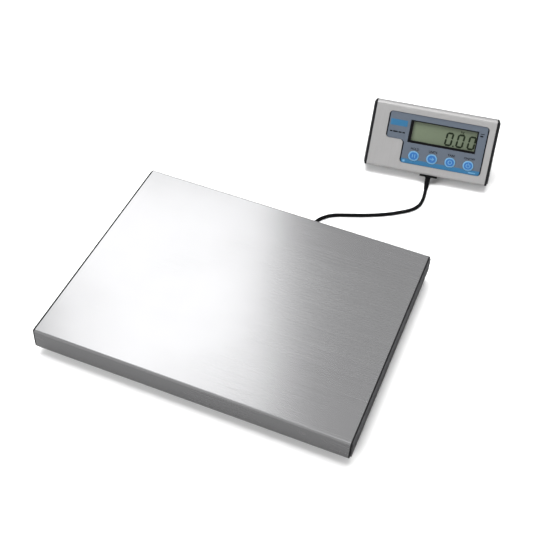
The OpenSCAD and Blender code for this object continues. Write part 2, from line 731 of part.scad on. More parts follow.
base_tray();
tray_ribs();
foot_bushes();
foot_pad(0);  // foot_pad_front_left
foot_pad(1);  // foot_pad_front_right
foot_pad(2);  // foot_pad_back_left
foot_pad(3);  // foot_pad_back_right
foot_stem(0);  // foot_stem_front_left
foot_stem(1);  // foot_stem_front_right
foot_stem(2);  // foot_stem_back_left
foot_stem(3);  // foot_stem_back_right
overload_stops();
cell_spacer_lower();
cell_bolts_lower();
load_cell();
cell_lead();
base_gland();
cell_spacer_upper();
cell_bolts_upper();
upper_frame();
upper_rails();
cover_pads();
top_cover();
side_trim_left();
side_trim_right();
lead();
front_shell();
back_shell();
end_cap_left();
end_cap_right();
case_screws();
label();
lcd_frame();
lcd_glass();
lcd_backlight();
display_board();
board_screws();
tact_switches();
key_hold();
key_units();
key_tare();
key_power();
battery();
battery_clip();
battery_door();
door_screw();
power_socket();
gland_plate();
gland_screws();
strain_relief();
display_feet();
stand_pin();
stand_leg();
stand_tip();
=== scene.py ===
"""Bench platform scale with a separate display: the looks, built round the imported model.

Metres, in the frame's own axes: +X right, +Y back, +Z up, origin on the bench.
The display's face has axes of its own: x to the right, y up the face, z out of it.
"""

import json

import bmesh
import bpy
import numpy as np
from bpy.props import FloatProperty, FloatVectorProperty, PointerProperty
from mathutils import Matrix, Quaternion, Vector


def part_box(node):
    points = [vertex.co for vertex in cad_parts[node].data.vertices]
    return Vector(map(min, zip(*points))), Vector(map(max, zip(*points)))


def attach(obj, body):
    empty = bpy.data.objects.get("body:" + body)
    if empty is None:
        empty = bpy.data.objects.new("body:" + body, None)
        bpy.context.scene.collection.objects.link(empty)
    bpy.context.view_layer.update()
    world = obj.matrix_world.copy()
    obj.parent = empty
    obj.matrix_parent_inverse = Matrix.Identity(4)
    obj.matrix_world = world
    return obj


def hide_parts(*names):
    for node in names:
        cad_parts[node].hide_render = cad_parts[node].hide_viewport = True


bl_info = {
    "name": "Platform Scale",
    "version": (1, 0, 0),
    "blender": (4, 5, 0),
    "location": "3D View > Sidebar > Scale",
    "description": "Builds the looks of a bench platform scale round its packed model",
    "category": "Add Mesh",
}

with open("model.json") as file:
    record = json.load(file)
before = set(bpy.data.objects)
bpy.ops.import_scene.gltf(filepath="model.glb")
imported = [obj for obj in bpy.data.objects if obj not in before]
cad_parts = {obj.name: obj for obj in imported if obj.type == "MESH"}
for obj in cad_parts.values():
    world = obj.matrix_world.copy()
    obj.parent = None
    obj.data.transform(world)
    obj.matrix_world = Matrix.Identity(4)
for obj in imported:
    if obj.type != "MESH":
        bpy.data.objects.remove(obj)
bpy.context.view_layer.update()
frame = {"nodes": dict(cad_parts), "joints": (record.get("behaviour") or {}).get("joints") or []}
JOINTS = {joint["name"]: joint for joint in frame["joints"]}
MM = 0.001
MERGE = 1e-6  # points of one piece that lie nearer than this are one point

# ---------------------------------------------------------------- places

HINGE_UP = 60 * MM  # from the display's lower back edge to the stand's hinge
HINGE_OUT = 5 * MM  # from the display's back to the stand's hinge


def unit(v):
    """v scaled to length one, row by row."""
    return v / np.linalg.norm(v, axis=-1, keepdims=True)


def face_place():
    """The display's own place: the stand's hinge gives x, the keys' travel gives z."""
    x = unit(np.array(JOINTS["stand_fold"]["axis"], float))
    z = -unit(np.array(JOINTS["hold_key_press"]["axis"], float))
    y = np.cross(z, x)
    hinge = np.array(JOINTS["stand_fold"]["pos_m"], float)
    return hinge - HINGE_UP * y + HINGE_OUT * z, np.stack([x, y, z])


# A place is an origin and three axes as rows.
BENCH = np.zeros(3), np.eye(3)
FACE = face_place()


def node_points(name):
    """The corner points of a node's mesh."""
    mesh = frame["nodes"][name].data
    co = np.zeros(len(mesh.vertices) * 3, np.float32)
    mesh.vertices.foreach_get("co", co)
    return co.reshape(-1, 3).astype(float)


def face_points(name):
    """The corner points of a node's mesh along the display's own axes."""
    origin, axes = FACE
    return (node_points(name) - origin) @ axes.T


def face_box(name):
    """Lowest and highest corner of a node along the display's own axes."""
    local = face_points(name)
    return local.min(0), local.max(0)


def bench_box(name):
    """Lowest and highest corner of a node along the bench's axes."""
    low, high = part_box(name)
    return np.array(low), np.array(high)


def shifted(place, offset):
    """A place whose origin is moved by an offset along its own axes."""
    origin, axes = place
    return origin + np.asarray(offset, float) @ axes, axes


def turned_place(place, rows):
    """A place whose axes are the given rows in the old place's axes."""
    origin, axes = place
    return origin, np.asarray(rows, float) @ axes


# ---------------------------------------------------------------- shapes


def grid_faces(rows, cols, first=0):
    """Quads of a rows x cols grid of points, counted row by row from first."""
    corner = first + np.arange(rows - 1)[:, None] * cols + np.arange(cols - 1)[None, :]
    return np.stack([corner, corner + 1, corner + cols + 1, corner + cols], -1).reshape(-1, 4)


def outline(corners, radii, inset=0.0, steps=8):
    """An anticlockwise outline with round corners, as points of the plane.

    Each side moves in by inset. A corner's circle touches both its sides, so its middle
    lies on the bisector, inside the corner for a left turn and outside it for a right turn,
    and the arc turns from one side's normal to the other's.
    """
    p = np.asarray(corners, float)
    into, out = unit(p - np.roll(p, 1, 0)), unit(np.roll(p, -1, 0) - p)
    sweep = np.arctan2(into[:, 0] * out[:, 1] - into[:, 1] * out[:, 0], (into * out).sum(1))
    hand = np.sign(sweep)
    smallest = 0.01 * MM
    r = np.maximum(np.broadcast_to(radii, len(p)) - hand * inset, smallest)
    n_in, n_out = (np.stack([-d[:, 1], d[:, 0]], -1) for d in (into, out))
    bisector = (n_in + n_out) / (1 + (n_in * n_out).sum(1))[:, None]
    middle = p + (inset + hand * r)[:, None] * bisector
    start = np.arctan2(-hand * n_in[:, 1], -hand * n_in[:, 0])
    angle = start[:, None] + sweep[:, None] * np.linspace(0, 1, steps + 1)
    arc = np.stack([np.cos(angle), np.sin(angle)], -1)
    return (middle[:, None, :] + r[:, None, None] * arc).reshape(-1, 2)


def rectangle(x0, y0, x1, y1):
    """The four corners of a rectangle, anticlockwise."""
    return [(x0, y0), (x1, y0), (x1, y1), (x0, y1)]


def slab(corners, radii, low, high, edge, crown=0.0, steps=8, rings=6):
    """A closed slab on an outline, with rounded edges and a crowned upper side.

    Along the edges the outline is drawn in by e(1 - sin t) below and e(1 - cos t) above
    for a quarter turn of t. Towards the middle the last ring shrinks to a point while the
    height grows by c(1 - s^2) for the share s of its size that is left.
    """
    edge_steps = 5
    t = np.linspace(0, np.pi / 2, edge_steps)
    insets = np.concatenate([edge * (1 - np.sin(t)), edge * (1 - np.cos(t))])
    heights = np.concatenate([low + edge * (1 - np.cos(t)), high - edge * (1 - np.sin(t))])
    loops = np.stack([outline(corners, radii, inset, steps) for inset in insets])
    middle = loops[-1].mean(0)
    s = np.linspace(1, 0, rings + 1)[1:]
    crown_loops = middle + (loops[-1] - middle) * s[:, None, None]
    base_loop = np.broadcast_to(middle, loops[:1].shape)
    plan = np.concatenate([base_loop, loops, crown_loops])
    height = np.concatenate([[low], heights, high + crown * (1 - s * s)])
    plan = np.concatenate([plan, plan[:, :1]], 1)
    return np.concatenate([plan, np.broadcast_to(height[:, None, None], plan[:, :, :1].shape)], -1)


def turned(profile, sides=48, change=None):
    """A surface of revolution about z: each profile point (r, z) goes round a full circle.

    change(r, z, angle) may give a new radius, which cuts knurls and threads.
    """
    angle = np.linspace(0, 2 * np.pi, sides + 1)
    r, z = (np.repeat(np.asarray(profile, float)[:, k : k + 1], sides + 1, 1) for k in (0, 1))
    if change is not None:
        r = change(r, z, angle[None, :])
    return np.stack([r * np.cos(angle), r * np.sin(angle), z], -1)


def carried(path, side, radius, sides=20, flatten=1.0):
    """A tube: circles of the given radii stand square on the path, one at each point.

    Each circle lies in the plane of side and of the path's direction crossed with it.
    flatten shrinks it across side.
    """
    path = np.asarray(path, float)
    along = unit(np.gradient(path, axis=0))
    side = unit(side - (side * along).sum(-1, keepdims=True) * along)
    across = np.cross(along, side)
    angle = np.linspace(0, 2 * np.pi, sides + 1)[None, :, None]
    radius = np.broadcast_to(radius, len(path))[:, None, None]
    ring = np.cos(angle) * side[:, None, :] + flatten * np.sin(angle) * across[:, None, :]
    body = path[:, None, :] + radius * ring
    first, last = (np.broadcast_to(path[k], body[:1].shape) for k in (0, -1))
    return np.concatenate([first, body, last])


def through(points, steps):
    """A smooth path through points: between two of them it is the cubic whose slope at each
    point is half the way from the point before to the point after."""
    p = np.asarray(points, float)
    p = np.concatenate([2 * p[:1] - p[1:2], p, 2 * p[-1:] - p[-2:-1]])
    t = np.arange(steps)[:, None, None] / steps
    a, b, c, d = p[:-3], p[1:-2], p[2:-1], p[3:]
    square = 2 * a - 5 * b + 4 * c - d
    cube = 3 * b - a - 3 * c + d
    path = 0.5 * (2 * b + (c - a) * t + square * t**2 + cube * t**3)
    return np.concatenate([path.transpose(1, 0, 2).reshape(-1, 3), p[-2:-1]])


def way_along(path):
    """How far each point of a path lies from its first one, measured along it."""
    return np.concatenate([[0], np.cumsum(np.linalg.norm(np.diff(path, axis=0), axis=1))])


def plane_path(points, height):
    """Points (x, y) of a plane, lifted to one height."""
    p = np.asarray(points, float)
    return np.concatenate([p, np.full((len(p), 1), height)], 1)


def circle_path(radius, start, end, steps):
    """Part of a circle about the origin, from one angle to another, in degrees."""
    a = np.radians(np.linspace(start, end, steps))
    return np.stack([radius * np.cos(a), radius * np.sin(a)], -1)


def flat_line(path, half_width, half_height):
    """A line with a low oval section: side lies in the plane, so the oval is wide and flat."""
    side = np.cross(np.gradient(path, axis=0), [0, 0, 1.0])
    return carried(path, side, half_width, 8, half_height / half_width)


def piece(name, grids, finish, body="base", place=BENCH, replaces=(), sharp=35, uv=None):
    """Makes one closed piece from grids of points, each rows x columns x 3.

    Neighbouring points are joined by quads. Points that meet are merged, so seams and poles
    close, and the normals are turned outwards. Edges sharper than sharp degrees stay crisp.
    uv gives a point's place on the piece's map, or else it is its share of row and column.
    """
    origin, axes = place
    points, faces, coords = [], [], []
    first = 0
    for grid in grids:
        rows, cols = grid.shape[:2]
        points.append(grid.reshape(-1, 3) @ axes + origin)
        faces.append(grid_faces(rows, cols, first))
        v, u = np.meshgrid(np.linspace(0, 1, rows), np.linspace(0, 1, cols), indexing="ij")
        coords.append(np.stack([u, v], -1).reshape(-1, 2))
        first += rows * cols
    mesh = bpy.data.meshes.new(name)
    mesh.from_pydata(np.concatenate(points).tolist(), [], np.concatenate(faces).tolist())
    corner = np.zeros(len(mesh.loops), np.int32)
    mesh.loops.foreach_get("vertex_index", corner)
    layer = mesh.uv_layers.new(name="UVMap")
    flat = np.concatenate(coords) if uv is None else uv
    layer.data.foreach_set("uv", flat[corner].astype(np.float32).ravel())
    work = bmesh.new()
    work.from_mesh(mesh)
    bmesh.ops.remove_doubles(work, verts=work.verts, dist=MERGE)
    bmesh.ops.recalc_face_normals(work, faces=work.faces)
    work.to_mesh(mesh)
    work.free()
    mesh.polygons.foreach_set("use_smooth", np.ones(len(mesh.polygons), bool))
    mesh.set_sharp_from_angle(angle=np.radians(sharp))
    mesh.materials.append(finish)
    obj = bpy.data.objects.new(name, mesh)
    bpy.context.scene.collection.objects.link(obj)
    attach(obj, body)
    if replaces:
        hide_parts(*replaces)
    return obj


# ---------------------------------------------------------------- finishes


def add(tree, kind, links=(), **values):
    """Adds a shader node. values set its sockets or its settings, links join its inputs."""
    made = tree.nodes.new(kind)
    for key, value in values.items():
        socket = made.inputs.get(key.replace("_", " ").title()) or made.inputs.get(key)
        if socket is not None and not hasattr(made, key):
            socket.default_value = value
        else:
            setattr(made, key, value)
    for name, source in dict(links).items():
        tree.links.new(source, made.inputs[name])
    return made


def new_finish(name):
    """An empty material with its output and a Principled shader: (material, tree, shader)."""
    material = bpy.data.materials.new(name)
    material.use_nodes = True
    tree = material.node_tree
    tree.nodes.clear()
    output = add(tree, "ShaderNodeOutputMaterial")
    shader = add(tree, "ShaderNodeBsdfPrincipled")
    tree.links.new(shader.outputs["BSDF"], output.inputs["Surface"])
    return material, tree, shader


def coordinates(tree, stretch=(1, 1, 1), place=BENCH):
    """Object coordinates, turned into a place's own axes and then stretched."""
    origin, axes = place
    source = add(tree, "ShaderNodeTexCoord").outputs["Object"]
    turn = Matrix(axes.T.tolist()).to_euler()
    local = add(tree, "ShaderNodeMapping", {"Vector": source}, vector_type="TEXTURE")
    local.inputs["Location"].default_value = Vector(origin)
    local.inputs["Rotation"].default_value = turn
    scaled = add(tree, "ShaderNodeMapping", {"Vector": local.outputs["Vector"]}, vector_type="POINT")
    scaled.inputs["Scale"].default_value = stretch
    return scaled.outputs["Vector"]


def noise(tree, vector, scale, detail=3.0, roughness=0.55):
    """Fractal noise from 0 to 1 at a number of waves per metre."""
    made = add(tree, "ShaderNodeTexNoise", {"Vector": vector})
    made.inputs["Scale"].default_value = scale
    made.inputs["Detail"].default_value = detail
    made.inputs["Roughness"].default_value = roughness
    return made.outputs["Fac"]


def ranged(tree, value, low, high, start=0.3, end=0.7):
    """value from start to end carried on to low to high."""
    made = add(tree, "ShaderNodeMapRange", {"Value": value})
    for name, number in (("From Min", start), ("From Max", end), ("To Min", low), ("To Max", high)):
        made.inputs[name].default_value = number
    return made.outputs["Result"]


def blended(tree, factor, first, second):
    """Two colours mixed by a factor. Either may be a colour or another node's output."""
    made = add(tree, "ShaderNodeMix", {"Factor": factor}, data_type="RGBA")
    for name, colour in (("A", first), ("B", second)):
        socket = [s for s in made.inputs if s.name == name and s.type == "RGBA"][0]
        if isinstance(colour, bpy.types.NodeSocket):
            tree.links.new(colour, socket)
        else:
            socket.default_value = (*colour[:3], 1)
    return [s for s in made.outputs if s.type == "RGBA"][0]


def bumped(tree, height, depth, strength=1.0):
    """A bump of the given depth in metres from a height from 0 to 1."""
    made = add(tree, "ShaderNodeBump", {"Height": height})
    made.inputs["Strength"].default_value = strength
    made.inputs["Distance"].default_value = depth
    return made.outputs["Normal"]


def own_map(tree):
    """The piece's own UV map."""
    return add(tree, "ShaderNodeUVMap", uv_map="UVMap").outputs["UV"]


CLOUDS = 22.0  # waves per metre of the slow clouds under a grain


def grained(name, colour, rough, metallic=0.0, grain=400.0, stretch=(1, 1, 1), depth=2e-5,
            place=BENCH, tint=0.06, spread=0.06, specular=0.5):
    """A finish of one colour with a fine grain: the grain moves the tone by tint and the
    roughness by spread and gives the bump, and slow clouds under it move both a little."""
    material, tree, shader = new_finish(name)
    fine = noise(tree, coordinates(tree, stretch, place), grain)
    slow = noise(tree, coordinates(tree, place=place), CLOUDS, 4.0)
    colour = np.array(colour[:3])
    light = np.minimum(colour * (1 + tint), 1)
    tone = blended(tree, ranged(tree, fine, 0, 1), colour * (1 - tint), light)
    cloud = blended(tree, ranged(tree, slow, 0, 0.5), tone, colour * (1 - tint))
    tree.links.new(cloud, shader.inputs["Base Color"])
    mixed = add(tree, "ShaderNodeMath", operation="ADD")
    tree.links.new(ranged(tree, fine, rough - spread, rough + spread), mixed.inputs[0])
    tree.links.new(ranged(tree, slow, -spread / 3, spread / 3), mixed.inputs[1])
    tree.links.new(mixed.outputs[0], shader.inputs["Roughness"])
    tree.links.new(bumped(tree, fine, depth), shader.inputs["Normal"])
    shader.inputs["Metallic"].default_value = metallic
    shader.inputs["Specular IOR Level"].default_value = specular
    return material


def circuit_finish():
    """Green solder mask with copper tracks under it: the thin joints of a running bond."""
    material, tree, shader = new_finish("solder mask")
    bond = add(tree, "ShaderNodeTexBrick", {"Vector": coordinates(tree, place=FACE)}, offset=0.37, squash=0.6)
    bond.inputs["Scale"].default_value = 160.0
    bond.inputs["Mortar Size"].default_value = 0.04
    bond.inputs["Mortar Smooth"].default_value = 0.1
    bond.inputs["Brick Width"].default_value = 0.9
    tracks = ranged(tree, bond.outputs["Fac"], 0, 1, 0.2, 0.8)
    mask = (0.010, 0.105, 0.045)
    copper = (0.05, 0.24, 0.09)
    tree.links.new(blended(tree, tracks, mask, copper), shader.inputs["Base Color"])
    tree.links.new(bumped(tree, tracks, 3e-5), shader.inputs["Normal"])
    shader.inputs["Roughness"].default_value = 0.28
    return material


def jacket_finish():
    """A battery's wrapper: dark film with a copper-coloured top third and a thin light ring."""
    material, tree, shader = new_finish("battery wrapper")
    split = add(tree, "ShaderNodeSeparateXYZ", {"Vector": coordinates(tree, place=FACE)})
    low, high = (corner[1] for corner in face_box("battery"))
    film = (0.02, 0.022, 0.03)
    copper = (0.42, 0.19, 0.06)
    pale = (0.55, 0.55, 0.52)
    blur = 0.2 * MM
    ring_width = 1.2 * MM
    edge = low + 0.68 * (high - low)
    top = ranged(tree, split.outputs["Y"], 0, 1, edge, edge + blur)
    ring = ranged(tree, split.outputs["Y"], 1, 0, edge - ring_width, edge - ring_width - blur)
    lower = blended(tree, ring, film, pale)
    tree.links.new(blended(tree, top, lower, copper), shader.inputs["Base Color"])
    shader.inputs["Roughness"].default_value = 0.3
    shader.inputs["Metallic"].default_value = 0.35
    return material


def brushed_finish(look):
    """Brushed stainless: long fine scratches along x give the roughness and the bump, longer
    and fainter ones the tone, and the shader's own anisotropy stretches the gloss across them."""
    material, tree, shader = new_finish("brushed stainless")
    hair = noise(tree, coordinates(tree, (1, 320, 320)), 6.0, 3.0, 0.65)
    streak = noise(tree, coordinates(tree, (1, 22, 22)), 5.0, 2.0)
    smear = noise(tree, coordinates(tree), 7.0, 3.0)
    steel = np.array(look.sheet_colour)
    bright = np.minimum(steel * 1.02, 1)
    scratched = blended(tree, ranged(tree, hair, 0, 1, 0.35, 0.65), steel * 0.97, bright)
    tone = blended(tree, ranged(tree, streak, 0, 0.35), scratched, steel * 0.975)
    tree.links.new(tone, shader.inputs["Base Color"])
    mixed = add(tree, "ShaderNodeMath", operation="ADD")
    rough = look.sheet_roughness
    tree.links.new(ranged(tree, hair, rough - 0.03, rough + 0.03), mixed.inputs[0])
    tree.links.new(ranged(tree, smear, -0.02, 0.03), mixed.inputs[1])
    tree.links.new(mixed.outputs[0], shader.inputs["Roughness"])
    tree.links.new(bumped(tree, hair, 1e-6, 0.4), shader.inputs["Normal"])
    tangent = add(tree, "ShaderNodeTangent", direction_type="UV_MAP")
    tangent.uv_map = "UVMap"
    tree.links.new(tangent.outputs["Tangent"], shader.inputs["Tangent"])
    shader.inputs["Metallic"].default_value = 1.0
    shader.inputs["Anisotropic"].default_value = 0.55
    shader.inputs["Anisotropic Rotation"].default_value = 0.25
    return material


def key_finish(look):
    """A key's moulding: a pale ring at its rim and a mid blue middle, told apart by the share
    of the way from the rim to the middle that the piece's own map holds."""
    material, tree, shader = new_finish("key moulding")
    share = add(tree, "ShaderNodeSeparateXYZ", {"Vector": own_map(tree)})
    middle = ranged(tree, share.outputs["Y"], 0, 1, 0.57, 0.59)
    colour = blended(tree, middle, look.key_ring_colour, look.key_colour)
    tree.links.new(colour, shader.inputs["Base Color"])
    fine = noise(tree, coordinates(tree, place=FACE), 2500.0)
    tree.links.new(ranged(tree, fine, 0.32, 0.44), shader.inputs["Roughness"])
    tree.links.new(bumped(tree, fine, 4e-6), shader.inputs["Normal"])
    return material


def readout_finish(look):
    """The display's liquid crystal: a grey-green reflector with painted shade, paler to the left
    and darker to the right where the frame throws shade, with the faint vertical grain of its polariser,
    under smooth glass."""
    material, tree, shader = new_finish("liquid crystal")
    split = add(tree, "ShaderNodeSeparateXYZ", {"Vector": coordinates(tree, place=FACE)})
    low, high = (corner[0] for corner in face_box("lcd_glass"))
    green = np.array(look.screen_colour)
    # Painted shade: the screen goes from lighter at its left to darker at its right, standing in for the
    # frame's shade.
    slope = ranged(tree, split.outputs["X"], 0, 1, low, high)
    tone = blended(tree, slope, np.minimum(green * 1.1, 1), green * 0.86)
    grain = noise(tree, coordinates(tree, (900, 60, 1), FACE), 4.0)
    colour = blended(tree, ranged(tree, grain, 0, 0.12), tone, green * 0.7)
    tree.links.new(colour, shader.inputs["Base Color"])
    shader.inputs["Roughness"].default_value = 0.35
    shader.inputs["Coat Weight"].default_value = 0.6
    shader.inputs["Coat Roughness"].default_value = 0.05
    return material


def cord_finish(look):
    """Black PVC along the lead: a faint lengthwise grain and a soft sheen."""
    material, tree, shader = new_finish("lead sleeve")
    where = add(tree, "ShaderNodeMapping", {"Vector": own_map(tree)})
    where.inputs["Scale"].default_value = (30, 240, 1)
    fine = noise(tree, where.outputs["Vector"], 1.0)
    black = np.array(look.sleeve_colour)
    colour = blended(tree, ranged(tree, fine, 0, 1), black * 0.8, black * 1.25)
    tree.links.new(colour, shader.inputs["Base Color"])
    tree.links.new(ranged(tree, fine, 0.38, 0.52), shader.inputs["Roughness"])
    tree.links.new(bumped(tree, fine, 2e-5), shader.inputs["Normal"])
    shader.inputs["Specular IOR Level"].default_value = 0.08
    return material


_finishes = {}  # filled by finishes() when it is first asked


def finishes(scale):
    """All finishes by the record's slot name. They are made once."""
    if not _finishes:
        platform, display, sleeve = scale.platform, scale.display, scale.lead.sleeve_colour
        _finishes.update(
            stainless=brushed_finish(platform),
            trim_black=grained("moulded trim", platform.trim_colour, 0.46, grain=900, depth=2.5e-5,
                               tint=0.12, specular=0.18),
            trim_panel=grained("moulded panel", platform.panel_colour, 0.5, grain=700, depth=4e-5,
                               tint=0.16, specular=0.4),
            foot_rubber=grained("rubber", (0.018, 0.018, 0.019), 0.72, grain=700, depth=4e-5,
                                tint=0.15, specular=0.3),
            black_steel=grained("black powder coat", (0.022, 0.022, 0.024), 0.5, grain=1300,
                                depth=3e-5, tint=0.12),
            frame_steel=grained("zinc sheet", (0.42, 0.43, 0.45), 0.42, metallic=1.0, grain=120,
                                depth=1e-5, tint=0.12, spread=0.1),
            zinc_steel=grained("bright zinc", (0.58, 0.59, 0.61), 0.3, metallic=1.0, grain=300,
                               depth=6e-6, tint=0.08, spread=0.08),
            cell_aluminium=grained("milled aluminium", (0.72, 0.73, 0.74), 0.34, metallic=1.0,
                                   grain=60, stretch=(1, 26, 26), depth=5e-6),
            silver_housing=grained("satin silver", display.case_colour, 0.38, metallic=0.55,
                                   grain=30, stretch=(40, 1.2, 40), depth=5e-6, place=FACE, tint=0.04),
            grey_housing=grained("grey moulding", display.back_colour, 0.5, grain=1500,
                                 depth=1.5e-5, place=FACE),
            black_screw=grained("black oxide", (0.035, 0.035, 0.038), 0.38, metallic=0.7,
                                grain=500, depth=5e-6),
            label_film=grained("label film", display.label_colour, 0.45, grain=2600, depth=4e-6,
                               place=FACE, tint=0.03),
            black_moulding=grained("black moulding", (0.004, 0.004, 0.0045), 0.45, grain=1600,
                                   depth=1e-5, tint=0.15, specular=0.12),
            lcd=readout_finish(display),
            light_guide=grained("light guide", (0.78, 0.80, 0.74), 0.3, grain=900, depth=4e-6),
            circuit_board=circuit_finish(),
            key_blue=key_finish(display),
            battery_jacket=jacket_finish(),
            lead_pvc=cord_finish(scale.lead),
            boot=grained("boot rubber", sleeve, 0.6, grain=1400, depth=1.5e-5, tint=0.2, specular=0.08),
            # Dark ink for the label's print, also used for the painted shade round the label's edge.
            ink_dark=grained("dark ink", display.ink_colour, 0.5, grain=3000, depth=1e-6, specular=0.1),
            ink_blue=grained("blue ink", display.band_colour, 0.42, grain=3000, depth=1e-6, tint=0.03),
            ink_light=grained("light ink", display.key_ring_colour, 0.42, grain=3000, depth=1e-6,
                              tint=0.03),
            segment=grained("segment", display.segment_colour, 0.4, grain=2000, depth=1e-6,
                            tint=0.04, specular=0.2),
        )
    return _finishes


# ---------------------------------------------------------------- settings


def length_property(name, millimetres, description):
    """A length in metres, with its default in millimetres."""
    return FloatProperty(name=name, description=description, default=millimetres * MM, min=0.0,
                         unit="LENGTH", subtype="DISTANCE", precision=5)


def colour_property(name, colour, description):
    """A linear colour."""
    return FloatVectorProperty(name=name, description=description, default=colour, min=0.0, max=1.0,
                               size=3, subtype="COLOR")


def power_property(name, watts, description):
    """A light's power in watts."""
    return FloatProperty(name=name, description=description, default=watts, min=0.0, unit="POWER")


class PlatformLook(bpy.types.PropertyGroup):
    """Sizes and colours of the weighing platform."""

    sheet: length_property("Sheet", 1.5, "Thickness of the stainless cover's sheet")
    bend: length_property("Bend", 3.0, "Outside radius of the cover's bends")
    trim_rim: length_property("Trim rim", 2.7, "Thickness of a side trim's rim")
    trim_panel_inset: length_property("Panel inset", 1.6, "Step from a trim's outline to its panel")
    sheet_lap: length_property("Sheet lap", 1.3, "How far the cover laps onto the side trims' rims")
    trim_edge: length_property("Trim edge", 0.45, "Radius of a trim's outer edges")
    thread_pitch: length_property("Thread pitch", 1.25, "Pitch of the feet's stems")
    sheet_colour: colour_property("Sheet colour", (0.63, 0.63, 0.64), "Colour of the stainless sheet")
    trim_colour: colour_property("Trim colour", (0.010, 0.010, 0.011), "Colour of the side trims")
    panel_colour: colour_property("Panel colour", (0.06, 0.06, 0.063), "Colour of the side trims' panels")
    sheet_roughness: FloatProperty(name="Sheet roughness", description="Roughness of the brushed sheet",
                                   default=0.24, min=0.05, max=0.8, subtype="FACTOR")


class DisplayLook(bpy.types.PropertyGroup):
    """Sizes and colours of the display."""

    cap_rim: length_property("Cap rim", 3.0, "Thickness of an end cap's rim")
    cap_inset: length_property("Cap inset", 2.5, "Step from an end cap's outline to its panel")
    digit_height: length_property("Digit height", 18.6, "Height of the readout's digits")
    digit_width: length_property("Digit width", 10.2, "Width of the readout's digits")
    digit_pitch: length_property("Digit pitch", 15.3, "Distance between neighbouring digits")
    segment_width: length_property("Segment width", 2.4, "Width of a digit's segments")
    ink: length_property("Ink", 0.03, "Thickness of the printed marks")
    case_colour: colour_property("Case colour", (0.43, 0.425, 0.425), "Colour of the front shell")
    back_colour: colour_property("Back colour", (0.13, 0.13, 0.135), "Colour of the back shell")
    label_colour: colour_property("Label colour", (0.076, 0.092, 0.117), "Colour of the label")
    band_colour: colour_property("Band colour", (0.020, 0.103, 0.205), "Colour of the label's band")
    key_colour: colour_property("Key colour", (0.017, 0.090, 0.26), "Colour of a key's middle")
    key_ring_colour: colour_property("Key ring colour", (0.11, 0.25, 0.40), "Colour of a key's rim")
    screen_colour: colour_property("Screen colour", (0.099, 0.122, 0.080), "Colour of the readout")
    segment_colour: colour_property("Segment colour", (0.006, 0.010, 0.004), "Colour of a digit that is on")
    ink_colour: colour_property("Ink colour", (0.004, 0.0045, 0.006), "Colour of the dark printing")


class LeadLook(bpy.types.PropertyGroup):
    """Sizes and colour of the lead."""

    diameter: length_property("Diameter", 4.5, "Diameter of the lead")
    boot_root: length_property("Boot root", 3.75, "Radius of the strain relief at the display")
    boot_tip: length_property("Boot tip", 2.8, "Radius of the strain relief at its end")
    boot_bend: length_property("Boot bend", 14.0, "Radius of the bend that the strain relief makes")
    sleeve_colour: colour_property("Sleeve colour", (0.004, 0.004, 0.0045),
                                   "Colour of lead and strain relief")


class StageLook(bpy.types.PropertyGroup):
    """Camera, floor and lights."""

    camera_place: FloatVectorProperty(name="Camera", description="Place of the camera", size=3,
                                      default=(0.2774, -0.8809, 0.928), unit="LENGTH", subtype="TRANSLATION")
    camera_turn: FloatProperty(name="Turn", description="Camera's turn to the left, seen from above",
                               default=np.radians(18.17), unit="ROTATION", subtype="ANGLE")
    camera_dip: FloatProperty(name="Dip", description="Camera's dip below the horizon",
                              default=np.radians(47.05), unit="ROTATION", subtype="ANGLE")
    camera_roll: FloatProperty(name="Roll", description="Camera's roll about its own line of sight",
                               default=np.radians(4.61), unit="ROTATION", subtype="ANGLE")
    lens: FloatProperty(name="Lens", description="Focal length on a 36 mm sensor", default=65.82,
                        min=10, max=300, unit="CAMERA")
    floor_colour: colour_property("Floor", (0.93, 0.93, 0.93), "Colour of the floor")
    mirror_floor: FloatProperty(name="Floor in the gloss", default=0.15, min=0.0, max=1.0, subtype="FACTOR",
                                description="Share of the floor's light that gloss picks up")
    room_light: FloatProperty(name="Room", description="Brightness of the room all round",
                              default=0.40, min=0.0)
    overhead_light: FloatProperty(name="Overhead", description="Brightness of the room straight overhead",
                                  default=0.75, min=0.0)
    panel_light: power_property("Panel", 3.7, "Power of the tall light panel at the back")
    fill_light: power_property("Fill", 60.0, "Power of the low light in front")
    roof_light: power_property("Roof", 95.0, "Power of the soft light overhead")


class ScaleLook(bpy.types.PropertyGroup):
    """All of the scale's settings."""

    platform: PointerProperty(type=PlatformLook)
    display: PointerProperty(type=DisplayLook)
    lead: PointerProperty(type=LeadLook)
    stage: PointerProperty(type=StageLook)


# ---------------------------------------------------------------- stage


# Each light's width and height, its place, and its lean about its own line of sight. The panel
# stands behind on the left, the roof hangs overhead, and the fill is low in front on the left.
PANEL_LIGHT = (0.70, 1.25), (-0.672, 0.868, 1.39), np.radians(-15)
ROOF_LIGHT = (1.8, 1.8), (-0.25, 0.15, 2.4), 0.0
FILL_LIGHT = (1.6, 1.0), (-1.7, -1.9, 1.15), 0.0
OVERHEAD = 0.92, 0.97  # heights on a unit sky between which the room brightens overhead
GLOW = 1.2, 3.6  # distances in metres between which the floor starts to glow
FLOOR_HALF = 9.0  # half the side of the square floor
SENSOR = 36.0  # width of the camera's sensor in millimetres


